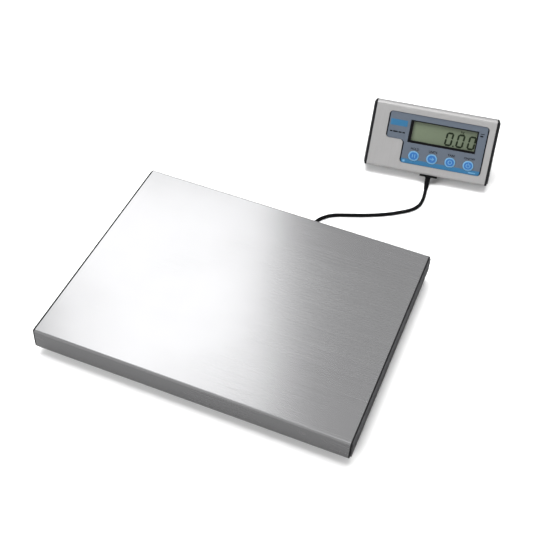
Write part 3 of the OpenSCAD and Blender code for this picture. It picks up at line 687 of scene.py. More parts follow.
class WEIGH_OT_stage(bpy.types.Operator):
    """Adds the camera, the floor and the lights"""

    bl_idname = "weigh.stage"
    bl_label = "Stage"
    bl_options = {"REGISTER", "UNDO"}

    def execute(self, context):
        scale = context.scene.scale_look
        look = scale.stage
        self.camera(look)
        self.floor(look)
        self.light("panel_light", look.panel_light, *PANEL_LIGHT)
        roof = self.light("roof_light", look.roof_light, *ROOF_LIGHT)
        fill = self.light("fill_light", look.fill_light, *FILL_LIGHT)
        roof.visible_glossy = fill.visible_glossy = False
        self.room(look)
        bpy.context.scene.view_settings.view_transform = "Standard"
        return {"FINISHED"}

    def room(self, look):
        """An even room, a little brighter overhead, with a white backdrop."""
        world = bpy.data.worlds.new("studio")
        world.use_nodes = True
        tree = world.node_tree
        background = tree.nodes["Background"]
        background.inputs["Color"].default_value = (1, 1, 1, 1)
        sky = add(tree, "ShaderNodeTexCoord").outputs["Generated"]
        upward = add(tree, "ShaderNodeSeparateXYZ", {"Vector": sky}).outputs["Z"]
        strength = ranged(tree, upward, look.room_light, look.overhead_light, *OVERHEAD)
        seen = add(tree, "ShaderNodeLightPath").outputs["Is Camera Ray"]
        backdrop = add(tree, "ShaderNodeMath", {0: seen, 1: strength}, operation="MAXIMUM")
        tree.links.new(backdrop.outputs[0], background.inputs["Strength"])
        bpy.context.scene.world = world

    def camera(self, look):
        """The camera's axes: right and line of sight from turn and dip, then the roll."""
        turn, dip, roll = look.camera_turn, look.camera_dip, look.camera_roll
        right = np.array([np.cos(turn), np.sin(turn), 0])
        sight = np.array([-np.sin(turn) * np.cos(dip), np.cos(turn) * np.cos(dip), -np.sin(dip)])
        up = np.cross(right, sight)
        x = right * np.cos(roll) + up * np.sin(roll)
        y = -right * np.sin(roll) + up * np.cos(roll)
        data = bpy.data.cameras.new("camera")
        data.lens = look.lens
        data.sensor_width = SENSOR
        data.clip_start = 0.01
        data.clip_end = 50.0
        camera = bpy.data.objects.new("camera", data)
        axes = Matrix(np.stack([x, y, -sight], 1).tolist()).to_4x4()
        camera.matrix_world = Matrix.Translation(look.camera_place) @ axes
        bpy.context.scene.collection.objects.link(camera)
        bpy.context.scene.camera = camera

    def light(self, name, power, size, place, lean):
        """A soft rectangular light that looks at the platform."""
        data = bpy.data.lights.new(name, "AREA")
        data.shape = "RECTANGLE"
        data.energy = power
        data.size, data.size_y = size
        obj = bpy.data.objects.new(name, data)
        platform = Vector(np.mean(bench_box("top_cover"), axis=0))
        sight = (platform - Vector(place)).to_track_quat("-Z", "Y")
        obj.location = place
        obj.rotation_euler = (sight @ Quaternion((0, 0, 1), lean)).to_euler()
        bpy.context.scene.collection.objects.link(obj)
        return obj

    def floor(self, look):
        """A plain pale floor, darker in the gloss of what stands on it. It glows more and more
        with its distance from the origin, so that it runs into the backdrop."""
        material, tree, shader = new_finish("floor")
        path = add(tree, "ShaderNodeLightPath")
        pale = np.array(look.floor_colour)
        colour = blended(tree, path.outputs["Is Glossy Ray"], pale, pale * look.mirror_floor)
        tree.links.new(colour, shader.inputs["Base Color"])
        shader.inputs["Roughness"].default_value = 0.9
        shader.inputs["Specular IOR Level"].default_value = 0.1
        away = add(tree, "ShaderNodeVectorMath", {"Vector": coordinates(tree)}, operation="LENGTH")
        glow = ranged(tree, away.outputs["Value"], 0, 0.9, *GLOW)
        tree.links.new(glow, shader.inputs["Emission Strength"])
        shader.inputs["Emission Color"].default_value = (1, 1, 1, 1)
        corners = rectangle(-FLOOR_HALF, -FLOOR_HALF, FLOOR_HALF, FLOOR_HALF)
        mesh = bpy.data.meshes.new("floor")
        mesh.from_pydata([(x, y, 0) for x, y in corners], [], [(0, 1, 2, 3)])
        mesh.materials.append(material)
        floor = bpy.data.objects.new("floor", mesh)
        bpy.context.scene.collection.objects.link(floor)


# ---------------------------------------------------------------- lead

# The lead's route, the same points as in the part's source: from inside the strain relief's
# end, along the bench, to the face of the gland on the base.
LEAD_ROUTE = np.array([
    [127, 181.8, 3], [128.4, 173, 2.6], [129.6, 163, 2.3], [130, 153, 2.3],
    [128.6, 142.5, 2.3], [124, 132.8, 2.3], [117, 125, 2.3], [108, 117.5, 2.3],
    [98, 110, 2.3], [87, 103, 2.3], [76, 97, 2.3], [65, 91.5, 2.3], [53, 86.2, 2.3],
    [42, 81.4, 2.3], [32, 76.6, 2.3], [24, 70.8, 2.3], [17.6, 63, 2.3], [13, 54, 2.3],
    [9.6, 45, 2.8], [7, 36.5, 4.4], [5, 29, 6.8], [3.8, 22, 9.2], [3.3, 16, 11.4],
    [3.1, 11, 13.3], [3, 6, 15], [3, 0, 15]]) * MM

BOOT_ROOT_LENGTH = 1 * MM  # straight stretch out of the gland plate
BOOT_STRAIGHT = 4 * MM  # straight stretch at the tip
BOOT_AXIS_Z = 22.5 * MM  # height of the strain relief's axis in the display's own frame
BOOT_RIBS = 6
BOOT_NOTCH = 0.55 * MM  # depth of the notches between the ribs
BOOT_COLLAR = 0.6 * MM  # how far the collar at the root stands out
BOOT_NECK = 2.9 * MM  # radius of the part inside the gland plate


class WEIGH_OT_lead(bpy.types.Operator):
    """Adds the lead between the display and the platform"""

    bl_idname = "weigh.lead"
    bl_label = "Lead"
    bl_options = {"REGISTER", "UNDO"}

    def execute(self, context):
        scale = context.scene.scale_look
        look = scale.lead
        path = through(LEAD_ROUTE, 6)
        side = np.cross(np.gradient(path, axis=0), [0, 0, 1.0])
        tube = carried(path, side, look.diameter / 2, 20)
        lead = piece("lead_sleeve", [tube], finishes(scale)["lead_pvc"], replaces=["lead"])
        return {"FINISHED"}


class WEIGH_OT_strain_relief(bpy.types.Operator):
    """Adds the ribbed strain relief under the display"""

    bl_idname = "weigh.strain_relief"
    bl_label = "Strain relief"
    bl_options = {"REGISTER", "UNDO"}

    def execute(self, context):
        """Its axis runs down the face, then along a circle until it is level, then straight.
        The radius falls evenly to the tip, less a narrow notch between each two ribs, and a
        collar stands round the root. The neck is a plain rod inside the gland plate."""
        scale = context.scene.scale_look
        look = scale.lead
        low, high = face_box("gland_plate")
        up_face = FACE[1][1]
        level = np.arccos(up_face @ unit(up_face * [1, 1, 0]))
        x, start = (low[0] + high[0]) / 2, low[1]
        root = np.linspace(0, 1, 4)[:-1, None] * [0, -BOOT_ROOT_LENGTH, 0] + [x, start, BOOT_AXIS_Z]
        a = np.linspace(0, level, 60)
        bend = np.stack([0 * a + x, start - BOOT_ROOT_LENGTH - look.boot_bend * np.sin(a),
                         BOOT_AXIS_Z + look.boot_bend * (1 - np.cos(a))], -1)
        out = np.array([0, -np.cos(level), np.sin(level)])
        tail = bend[-1] + np.linspace(0, BOOT_STRAIGHT, 16)[1:, None] * out
        path = np.concatenate([root, bend, tail])
        way = way_along(path)
        share = way / way[-1]
        radius = look.boot_root + (look.boot_tip - look.boot_root) * share
        notch = np.maximum(0, np.cos(2 * np.pi * (BOOT_RIBS + 1) * share)) ** 6
        ribbed = (share > 0.08) & (share < 0.93)
        collar = share < 0.04
        radius = radius - BOOT_NOTCH * notch * ribbed + BOOT_COLLAR * collar
        body = carried(path, np.broadcast_to([1.0, 0, 0], path.shape), radius, 28)
        reach = face_box("strain_relief")[1][1] - start
        neck = turned([(0, 0), (BOOT_NECK, 0), (BOOT_NECK, reach), (0, reach)], 24)
        neck = neck[..., [0, 2, 1]] * [1, 1, -1] + [x, start - 0.2 * MM, BOOT_AXIS_Z]
        piece("strain_relief_boot", [body, neck], finishes(scale)["boot"], place=FACE,
              replaces=["strain_relief"], sharp=50)
        return {"FINISHED"}


# ---------------------------------------------------------------- platform


class WEIGH_OT_cover(bpy.types.Operator):
    """Adds the stainless cover, bent from one sheet"""

    bl_idname = "weigh.cover"
    bl_label = "Cover"
    bl_options = {"REGISTER", "UNDO"}

    def execute(self, context):
        """One section carried along x: up the front skirt, round a bend, over the top, round
        the other bend and down, then back inside at the sheet's thickness."""
        scale = context.scene.scale_look
        look = scale.platform
        low, high = bench_box("top_cover")
        low[0], high[0] = low[0] - look.sheet_lap, high[0] + look.sheet_lap
        outer = self.section(low, high, look.bend, 0.0)
        inner = self.section(low, high, look.bend, look.sheet)[::-1]
        loop = np.concatenate([outer, inner, outer[:1]])
        hem, border = 0.25 * MM, 20 * MM
        middle = np.linspace(low[0] + border, high[0] - border, 9)
        along = np.array([low[0], low[0] + hem, *middle, high[0] - hem, high[0]])
        grid = np.stack([np.concatenate([np.full((len(loop), 1), x), loop], 1) for x in along])
        ends = [self.end(outer, inner[::-1], x) for x in (low[0], high[0])]
        uv = [np.stack(np.meshgrid(along, way_along(loop), indexing="ij"), -1).reshape(-1, 2)]
        uv += [end.reshape(-1, 3)[:, 1:] for end in ends]
        cover = piece("stainless_cover", [grid, *ends], finishes(scale)["stainless"], "platform",
                      replaces=["top_cover"], sharp=40, uv=np.concatenate(uv))
        edges = cover.modifiers.new("edges", "BEVEL")
        edges.width = hem
        edges.segments = 2
        edges.limit_method = "ANGLE"
        edges.angle_limit = np.radians(50)
        edges.harden_normals = True
        return {"FINISHED"}

    def section(self, low, high, bend, inward):
        """The sheet's line in (y, z), drawn in by inward: two quarter circles and three sides."""
        r = bend - inward
        front, back, top = low[1] + inward, high[1] - inward, high[2] - inward
        t = np.linspace(0, np.pi / 2, 11)
        rise = np.stack([front + r * (1 - np.cos(t)), top - r * (1 - np.sin(t))], -1)
        fall = np.stack([back - r * (1 - np.sin(t)), top - r * (1 - np.cos(t))], -1)
        return np.concatenate([[[front, low[2]]], rise, fall, [[back, low[2]]]])

    def end(self, outer, inner, x):
        """The sheet's cut end: a strip from the outer line to the inner one."""
        both = np.stack([outer, inner])
        return np.concatenate([np.full((*both.shape[:2], 1), x), both], -1)


TAB_PITCH = 100 * MM  # between a side trim's tabs
TAB_HALF = 10 * MM  # half a tab's length
TAB_HEIGHT = 4.6 * MM
TAB_REACH = 4.5 * MM  # how far a tab reaches in from the trim's seat
PANEL_CROWN = 0.15 * MM  # how far a trim's panel rises to its middle
PANEL_EDGE = 0.7 * MM  # radius of a trim panel's edges
PANEL_ROOT = 0.5 * MM  # how deep a panel is let into its rim


class WEIGH_OT_side_trims(bpy.types.Operator):
    """Adds the moulded trims at the platform's sides"""

    bl_idname = "weigh.side_trims"
    bl_label = "Side trims"
    bl_options = {"REGISTER", "UNDO"}

    def execute(self, context):
        """Each trim is a rim with a raised panel, and three tabs that reach in under the cover.
        In its own place x runs back, y up and z outwards from where it meets the cover."""
        scale = context.scene.scale_look
        look = scale.platform
        cover_low, cover_high = bench_box("top_cover")
        for side, sign in (("left", -1), ("right", 1)):
            node = "side_trim_" + side
            low, high = bench_box(node)
            seat = (cover_low[0] if sign < 0 else cover_high[0]) + sign * look.sheet_lap
            depth = abs((low[0] if sign < 0 else high[0]) - seat)
            rim_depth = look.trim_rim - look.sheet_lap
            place = (np.array([seat, 0, 0]), np.array([[0, 1, 0], [0, 0, 1], [sign, 0, 0]], float))
            step = look.trim_panel_inset
            whole = rectangle(low[1], low[2], high[1], high[2])
            inner = rectangle(low[1] + step, low[2] + step, high[1] - step, high[2] - step)
            rim = slab(whole, np.repeat([0.6 * MM, look.bend], 2), 0, rim_depth, look.trim_edge)
            panel = slab(inner, np.repeat([0.8 * MM, look.bend * 0.8], 2), rim_depth - PANEL_ROOT,
                         depth - PANEL_CROWN, PANEL_EDGE, PANEL_CROWN)
            z = self.tab_low(node)
            tabs = [slab(rectangle(y - TAB_HALF, z, y + TAB_HALF, z + TAB_HEIGHT), 0.5 * MM,
                         -TAB_REACH, 0.5 * MM, 0.3 * MM)
                    for y in (low[1] + high[1]) / 2 + np.array([-1, 0, 1]) * TAB_PITCH]
            piece(node + "_moulding", [rim, *tabs], finishes(scale)["trim_black"], "platform", place,
                  [node], 40)
            piece(node + "_panel", [panel], finishes(scale)["trim_panel"], "platform", place,
                  sharp=40)
        return {"FINISHED"}

    def tab_low(self, node):
        """Height of a trim's tabs, taken from its points that reach in past the cover's end."""
        p = node_points(node)
        cover_low, cover_high = bench_box("top_cover")
        inside = (p[:, 0] > cover_low[0] + MM) & (p[:, 0] < cover_high[0] - MM)
        return p[inside, 2].min()


class WEIGH_OT_feet(bpy.types.Operator):
    """Adds the levelling feet: grooved rubber pads and threaded stems with finger wheels"""

    bl_idname = "weigh.feet"
    bl_label = "Feet"
    bl_options = {"REGISTER", "UNDO"}

    def execute(self, context):
        scale = context.scene.scale_look
        for corner in ("front_left", "front_right", "back_left", "back_right"):
            self.pad(scale, corner)
            self.stem(scale, corner)
        return {"FINISHED"}

    def pad(self, scale, corner):
        """A profile in millimetres, turned: ring grooves in its sole, a blind hole for the stem
        from above, and shallow notches in its side, each a cosine's upper half, cubed."""
        node = "foot_pad_" + corner
        low, high = bench_box(node)
        r, top = (high[0] - low[0]) / 2 / MM, high[2] / MM
        groove, hole, hole_floor = 0.6, 5.1, 2.0
        sole = [(0, groove), (3.6, groove), (4.1, 0)]
        for start in (6.6, 10.2, 13.4):
            sole += [(start, 0), (start + 0.4, groove), (start + 1.2, groove), (start + 1.6, 0)]
        wall = [(r - 0.7, 0), (r - 0.2, 0.2), (r, 0.7), (r, top - 1.5), (r - 2, top),
                (hole, top), (hole, hole_floor), (0, hole_floor)]
        notches, notch_depth = 28, 0.35 * MM

        def change(radius, height, angle):
            side = (radius > (r - 0.5) * MM) & (height > 0.3 * MM)
            return radius - notch_depth * side * np.maximum(0, np.cos(notches * angle)) ** 3

        grid = turned(np.array(sole + wall) * MM, 168, change)
        centre = (low + high) / 2 * [1, 1, 0]
        piece("rubber_" + node, [grid], finishes(scale)["foot_rubber"], "foot_" + corner, (centre, np.eye(3)),
              [node], 32)

    def stem(self, scale, corner):
        """Pivot, knurled wheel and stud. The stud's radius falls from crest to root and back
        over each pitch of z, shifted by the angle, which makes the thread a helix."""
        node = "foot_stem_" + corner
        low, high = bench_box(node)
        pitch = scale.platform.thread_pitch
        pivot, wheel, stud = 5 * MM, (high[0] - low[0]) / 2, 4 * MM
        bottom, wheel_low, wheel_high, tip = low[2], 5 * MM, 7.4 * MM, high[2]
        chamfer, rounding = 0.4 * MM, 0.5 * MM
        lower = [(0, bottom), (pivot - chamfer, bottom), (pivot, bottom + chamfer), (pivot, wheel_low),
                 (wheel - rounding, wheel_low), (wheel, wheel_low + chamfer),
                 (wheel, wheel_high - chamfer), (wheel - rounding, wheel_high), (stud, wheel_high)]
        heights = np.linspace(wheel_high + 0.05 * MM, tip - rounding, 110)
        upper = [(stud, height) for height in heights] + [(stud - 0.7 * MM, tip), (0, tip)]
        knurls, knurl_depth, thread_depth = 36, 0.5 * MM, 0.6 * MM

        def change(radius, height, angle):
            on_wheel = radius > wheel - 0.2 * MM
            on_stud = (height > wheel_high + 0.04 * MM) & (radius > stud - 0.1 * MM)
            knurl = knurl_depth * on_wheel * (0.5 + 0.5 * np.cos(knurls * angle))
            phase = (height / pitch - angle / (2 * np.pi)) % 1
            return radius - knurl - thread_depth * on_stud * np.abs(2 * phase - 1)

        grid = turned(lower + upper, 72, change)
        centre = (low + high) / 2 * [1, 1, 0]
        piece("threaded_" + node, [grid], finishes(scale)["zinc_steel"], "stem_" + corner,
              (centre, np.eye(3)), [node], 30)


# ---------------------------------------------------------------- display


CAP_CHAMFER = 5 * MM  # size of the chamfer at an end cap's lower back corner
CAP_RADII = np.array([0.4, 2, 5, 3, 0.4]) * MM  # of its corners, from the chamfer round
CHAMFER_SHIFT = 0.41  # a chamfer's corner moves by this share more than the sides beside it
PLUG_INSET = 2.7 * MM  # from a cap's outline to the plug that fills the housing's end


class WEIGH_OT_end_caps(bpy.types.Operator):
    """Adds the end caps of the display"""

    bl_idname = "weigh.end_caps"
    bl_label = "End caps"
    bl_options = {"REGISTER", "UNDO"}

    def execute(self, context):
        """Each cap is a rim with a raised panel on it and a plug behind it. In its own place x
        runs up the face, y out of it and z outwards from the front shell's end."""
        scale = context.scene.scale_look
        look = scale.display
        low, high = face_box("front_shell")
        for side, sign in (("left", -1), ("right", 1)):
            node = "end_cap_" + side
            cap_low, cap_high = face_box(node)
            seat = low[0] if sign < 0 else high[0]
            depth = abs((cap_low[0] if sign < 0 else cap_high[0]) - seat)
            place = turned_place(shifted(FACE, (seat, 0, 0)), [[0, 1, 0], [0, 0, 1], [sign, 0, 0]])
            step, crown = look.cap_inset, 0.1 * MM
            whole, inner, behind = (self.corners(cap_low[2], high[1], high[2], inset)
                                    for inset in (0, step, PLUG_INSET))
            rim = slab(whole, CAP_RADII, 0, look.cap_rim, 0.5 * MM)
            panel = slab(inner, np.maximum(CAP_RADII - step, 0.9 * MM), look.cap_rim - 0.5 * MM,
                         depth - crown, 0.5 * MM, crown)
            plug = slab(behind, np.maximum(CAP_RADII - PLUG_INSET, 0.5 * MM), -MM, 0.3 * MM, 0.2 * MM)
            piece(node + "_moulding", [rim, plug], finishes(scale)["trim_black"], place=place,
                  replaces=[node], sharp=40)
            piece(node + "_panel", [panel], finishes(scale)["trim_panel"], place=place,
                  sharp=40)
        return {"FINISHED"}

    def corners(self, back, top, front, inset):
        """A cap's corners, drawn in by inset: a rectangle with one corner cut off."""
        cut = CAP_CHAMFER + CHAMFER_SHIFT * inset
        return [(cut, back + inset), (top - inset, back + inset), (top - inset, front - inset),
                (inset, front - inset), (inset, back + cut)]


# A nought's segments, each from one joint of a digit to another. The joints stand in two
# columns and three rows, and are counted from left to right and from the lowest row up.
NOUGHT = [(4, 5), (5, 3), (3, 1), (1, 0), (0, 2), (2, 4)]
DIGITS = 3
SLANT = 0.09  # how far a digit leans to the right for each unit of its height
DOT_HALF = 0.9 * MM  # half the side of the decimal point
UNIT_HEIGHT = 3.6 * MM  # height of the unit's letters


class WEIGH_OT_readout(bpy.types.Operator):
    """Adds the readout's segments over its screen"""

    bl_idname = "weigh.readout"
    bl_label = "Readout"
    bl_options = {"REGISTER", "UNDO"}

    def execute(self, context):
        """Each segment is a bar with pointed ends. Its six corners lie at the ends and at
        half a width in from them, and the digit's slant moves points right as they go up."""
        scale = context.scene.scale_look
        look = scale.display
        top = face_box("lcd_glass")[1][2]
        view_low, view_high = self.view()
        w, h, t = look.digit_width, look.digit_height, look.segment_width
        right = view_high[0] - 0.9 * MM - w / 2
        base = view_low[1] + 1.0 * MM
        half_w, half_h = (w - t) / 2, (h - t) / 2
        joints = np.array([(x, y) for y in (0, half_h, 2 * half_h) for x in (-half_w, half_w)])
        ends = joints[np.array(NOUGHT)]
        gap = 0.08 * MM
        along = unit(ends[:, 1] - ends[:, 0])
        across = np.stack([-along[:, 1], along[:, 0]], -1)
        a, b = ends[:, 0] + gap * along, ends[:, 1] - gap * along
        shape = np.stack([a, a + t / 2 * (along - across), b - t / 2 * (along + across), b,
                          b - t / 2 * (along - across), a + t / 2 * (along + across)], 1)
        shape[..., 0] += SLANT * shape[..., 1]
        grids = []
        for k in range(DIGITS):
            middle = np.array([right - k * look.digit_pitch, base + t / 2])
            grids += [self.bar(corners + middle, top) for corners in shape]
        dot = outline(rectangle(-DOT_HALF, -DOT_HALF, DOT_HALF, DOT_HALF), 0.3 * MM, 0, 3)
        grids.append(self.bar(dot + [right - 1.5 * look.digit_pitch - 0.1 * MM, base + 0.95 * MM], top))
        dark = finishes(scale)["segment"]
        piece("readout_digits", grids, dark, place=FACE, sharp=30)
        unit_place = right - look.digit_pitch * 0.9, base + h + 1.4 * MM
        words(scale, "readout_unit", [("kg", *unit_place, UNIT_HEIGHT)], top, dark, 0.01)
        return {"FINISHED"}

    def view(self):
        """The part of the screen that the frame leaves open: the frame's hole, found as the
        corners of its mesh that lie well inside its outline."""
        local = face_points("lcd_frame")
        low, high = local.min(0), local.max(0)
        margin = 5.2 * MM
        inside = ((local[:, :2] > low[:2] + margin) & (local[:, :2] < high[:2] - margin)).all(1)
        return local[inside].min(0), local[inside].max(0)

    def bar(self, corners, low, thick=0.05 * MM):
        """A flat closed piece on a convex outline: its middle, its outline low and high, and
        its middle again."""
        loop = np.concatenate([corners, corners[:1]])
        middle = np.broadcast_to(corners.mean(0), loop.shape)
        plan = np.stack([middle, loop, loop, middle])
        height = np.array([low, low, low + thick, low + thick])[:, None, None]
        return np.concatenate([plan, np.broadcast_to(height, plan[..., :1].shape)], -1)


CAPITAL = 0.7  # share of a font's size that its capital letters are high


def words(scale, name, entries, height, finish, weight=0.03):
    """Plain words as thin raised print: each entry is (text, x, y, letter height), and the
    word is centred on x. weight thickens the strokes by a share of the letter height."""
    origin, axes = FACE
    on_face = Matrix.Translation(origin) @ Matrix(axes.T.tolist()).to_4x4()
    work = bmesh.new()
    for text, x, y, size in entries:
        curve = bpy.data.curves.new(name, "FONT")
        curve.body = text
        curve.size = size / CAPITAL
        curve.align_x = "CENTER"
        curve.extrude = scale.display.ink / 2
        curve.resolution_u = 3
        curve.offset = weight * size
        obj = bpy.data.objects.new(name, curve)
        bpy.context.scene.collection.objects.link(obj)
        word = bpy.data.meshes.new_from_object(obj)
        word.transform(on_face @ Matrix.Translation((x, y, height + scale.display.ink / 2)))
        work.from_mesh(word)
        bpy.data.objects.remove(obj)
        bpy.data.curves.remove(curve)
        bpy.data.meshes.remove(word)
    bmesh.ops.remove_doubles(work, verts=work.verts, dist=MERGE)
    bmesh.ops.recalc_face_normals(work, faces=work.faces)
    mesh = bpy.data.meshes.new(name)
    work.to_mesh(mesh)
    work.free()
    mesh.materials.append(finish)
    obj = bpy.data.objects.new(name, mesh)
    bpy.context.scene.collection.objects.link(obj)
    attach(obj, "base")


# Each key: its body, its caption, and the lines of its sign in millimetres about its middle.
KEYS = {
    "key_hold": ("hold_key", "HOLD", [[(-1.56, -2.4), (-1.56, 2.4)], [(1.56, -2.4), (1.56, 2.4)]]),
    "key_units": ("units_key", "UNITS", [[(-3.12, 0), (1.92, 0)], [(0.24, 2.04), (2.88, 0), (0.24, -2.04)]]),
    "key_tare": ("tare_key", "TARE", [circle_path(2.4, 0, 360, 33)]),
    "key_power": ("power_key", "ON/OFF", [circle_path(2.64, 125, 415, 28), [(0, 0.48), (0, 3.48)]]),
}
KEY_FLANGE = 0.9 * MM  # how far the flange under a key's cap stands out
KEY_CROWN = 0.28 * MM  # how far a key's top rises to its middle
KEY_FOOT = 2 * MM  # radius of the foot that pushes the switch
SIGN_HALF_WIDTH = 0.5 * MM
SIGN_HALF_HEIGHT = 0.06 * MM


class WEIGH_OT_keys(bpy.types.Operator):
    """Adds the four keys with their signs"""

    bl_idname = "weigh.keys"
    bl_label = "Keys"
    bl_options = {"REGISTER", "UNDO"}

    def execute(self, context):
        """Each key is a crowned cap on a flange with a round foot, and its sign is flat lines
        on the cap. Heights go down from the key's top."""
        scale = context.scene.scale_look
        for node, (body, _, lines) in KEYS.items():
            low, high = face_box(node)
            middle, half, top = (low + high) / 2, (high - low) / 2, high[2]
            cap_x, cap_y = half[:2] - KEY_FLANGE
            place = shifted(FACE, (middle[0], middle[1], 0))
            cap = slab(rectangle(-cap_x, -cap_y, cap_x, cap_y), cap_y - 0.01 * MM, top - 3.4 * MM,
                       top - KEY_CROWN, 0.55 * MM, KEY_CROWN, 12, 10)
            flange = slab(rectangle(-half[0], -half[1], half[0], half[1]), half[1] - 0.05 * MM,
                          top - 3.7 * MM, top - 2.7 * MM, 0.2 * MM, 0, 12, 2)
            foot_top = top - 3.6 * MM
            foot = turned([(0, low[2]), (KEY_FOOT, low[2]), (KEY_FOOT, foot_top), (0, foot_top)], 24)
            piece("cap_" + node, [cap, flange, foot], finishes(scale)["key_blue"], body, place,
                  [node], 40)
            paths = [plane_path(np.array(line) * MM, top - 0.02 * MM) for line in lines]
            sign = [flat_line(path, SIGN_HALF_WIDTH, SIGN_HALF_HEIGHT) for path in paths]
            piece("sign_" + node, sign, finishes(scale)["ink_light"], body, place, sharp=60)
        return {"FINISHED"}


LABEL_RADIUS = 4.8 * MM  # of the label's corners
BAND_HEIGHT = 6.2 * MM
KEY_HOLE = 7.05 * MM  # radius at which the band keeps clear of a key's middle
KEY_HOLE_FLAT = 0.7 * MM  # half the straight part of that clearance, across the face
CAPTION_UP = 8.2 * MM  # from a key's middle to its caption
CAPTION_HEIGHT = 2.9 * MM
SHADE_LINE_LEAST = 0.12 * MM  # width of the painted shade line round the label where its edge runs across the face
SHADE_LINE_MORE = 1.5 * MM  # how much wider the painted shade is where the label's edge runs up the face, beside the pocket's shaded side walls


class WEIGH_OT_print(bpy.types.Operator):
    """Adds the printing on the label, and the painted shade round its edge"""

    bl_idname = "weigh.print"
    bl_label = "Label printing"
    bl_options = {"REGISTER", "UNDO"}

    def execute(self, context):
        """The bars' sizes are in millimetres from the nearest corner of the label."""
        scale = context.scene.scale_look
        ink = scale.display.ink
        low, high = face_box("label")
        top = high[2]
        kit = finishes(scale)
        keys = [np.mean(face_box(node), axis=0) for node in KEYS]
        upper_left, upper_right = (low[0], high[1]), (high[0], high[1])
        self.band(scale, low, high, keys, top)
        block = self.bars(upper_left, [(3.4, -18.6, 23.0, 8.2)], top, ink, 0.5 * MM)
        piece("print_block", block, kit["ink_blue"], place=FACE)
        captions = [(text, key[0], key[1] + CAPTION_UP, CAPTION_HEIGHT)
                    for key, (_, text, _) in zip(keys, KEYS.values())]
        words(scale, "print_captions", captions, top, kit["ink_dark"])
        dashes = ((4.4, 3.4), (8.8, 6.4), (16.2, 4.2), (21.4, 3.6))
        rules = self.bars(upper_left, [(x, -27.9, width, 1.9) for x, width in dashes], top, ink)
        rules += self.bars(upper_right, [(-10.6, -10.8, 5.4, 0.9), (-10.6, -14.4, 4.2, 2.0)], top, ink)
        piece("print_rules", rules, kit["ink_dark"], place=FACE)
        # Painted shade: a dark line round the label, standing in for the shade in the pocket's walls.
        self.seam(scale, low, high, top)
        marks = self.bars((self.band_left(low), low[1]), [(4.2, 1.3, 3.0, 3.0)], top + ink, ink)
        marks += self.bars((high[0], low[1]), [(-16.4, 2.0, 9.5, 1.3)], top + ink, ink)
        piece("print_marks", marks, kit["ink_light"], place=FACE)
        return {"FINISHED"}

    def bars(self, corner, entries, top, ink, radius=0.25 * MM):
        """Printed bars, each (x, y, width, height) in millimetres from a corner of the label."""
        grids = []
        for x, y, width, height in np.array(entries) * MM:
            x, y = corner[0] + x, corner[1] + y
            grids.append(slab(rectangle(x, y, x + width, y + height), radius, top, top + ink, ink / 3))
        return grids

    def seam(self, scale, low, high, top):
        """Painted shade round the label: a dark line that stands in for the shade in the pocket's walls,
        widest where the label's edge runs up the face: its width is the least width plus the rest times the
        outline normal's share of x, squared."""
        left = self.band_left(low)
        local = face_points("label")
        step = local[local[:, 0] < left - 8 * MM][:, 1].min()
        corners = [(left, low[1]), (high[0], low[1]), (high[0], high[1]),
                   (low[0], high[1]), (low[0], step), (left, step)]
        edge = outline(corners, LABEL_RADIUS - 0.1 * MM, 0.02 * MM, 16)
        along = np.roll(edge, -1, 0) - np.roll(edge, 1, 0)
        normal = unit(np.stack([-along[:, 1], along[:, 0]], -1))
        inner = edge + normal * (SHADE_LINE_LEAST + SHADE_LINE_MORE * normal[:, :1] ** 2)
        loops = np.stack([edge, edge, inner, inner, edge])
        height = top + np.array([0, 1.3, 1.3, 0, 0])[:, None, None] * scale.display.ink
        loops = np.concatenate([loops, np.broadcast_to(height, loops[..., :1].shape)], -1)
        closed = np.concatenate([loops, loops[:, :1]], 1)
        # The dark ink finish paints the pocket walls' shade here.
        piece("painted_shade_round_label", [closed], finishes(scale)["ink_dark"], place=FACE)

    def band_left(self, low):
        """Left end of the label's lower part: the label's own points near its lower edge."""
        local = face_points("label")
        return local[local[:, 1] < low[1] + 8 * MM][:, 0].min()

    def band(self, scale, low, high, keys, top):
        """The band along the label's lower edge. Its lower line follows the label's round
        corners. Its upper line is straight, less what each key's hole takes from it."""
        left, right, r = self.band_left(low), high[0], LABEL_RADIUS
        t = np.concatenate([[0], np.geomspace(0.004, 1, 24)])
        ends = r * (1 - np.cos(t * np.pi / 2))
        middle = np.linspace(left + r, right - r, 380)[1:-1]
        x = np.concatenate([left + ends, middle, (right - ends)[::-1]])
        into = np.minimum(np.clip(x - left, 0, r), np.clip(right - x, 0, r))
        lower = low[1] + r - np.sqrt(np.maximum(r * r - (r - into) ** 2, 0))
        upper = np.full_like(x, low[1] + BAND_HEIGHT)
        for key in keys:
            beside = np.maximum(np.abs(x - key[0]) - KEY_HOLE_FLAT, 0)
            arc = key[1] - np.sqrt(np.maximum(KEY_HOLE**2 - beside**2, 0))
            upper = np.where(beside < KEY_HOLE, np.minimum(upper, arc), upper)
        below, above = (np.stack([x, line], -1) for line in (lower, upper))
        plan = np.stack([below, above, above, below, below], 1)
        height = top + np.array([0, 0, 1, 1, 0])[:, None] * scale.display.ink
        ring = np.concatenate([plan, np.broadcast_to(height, plan[..., :1].shape)], -1)
        caps = ring[[0, -1], :4].mean(1, keepdims=True) * np.ones((1, 5, 1))
        grid = np.concatenate([caps[:1], ring, caps[1:]])
        piece("print_band", [grid], finishes(scale)["ink_blue"], place=FACE)


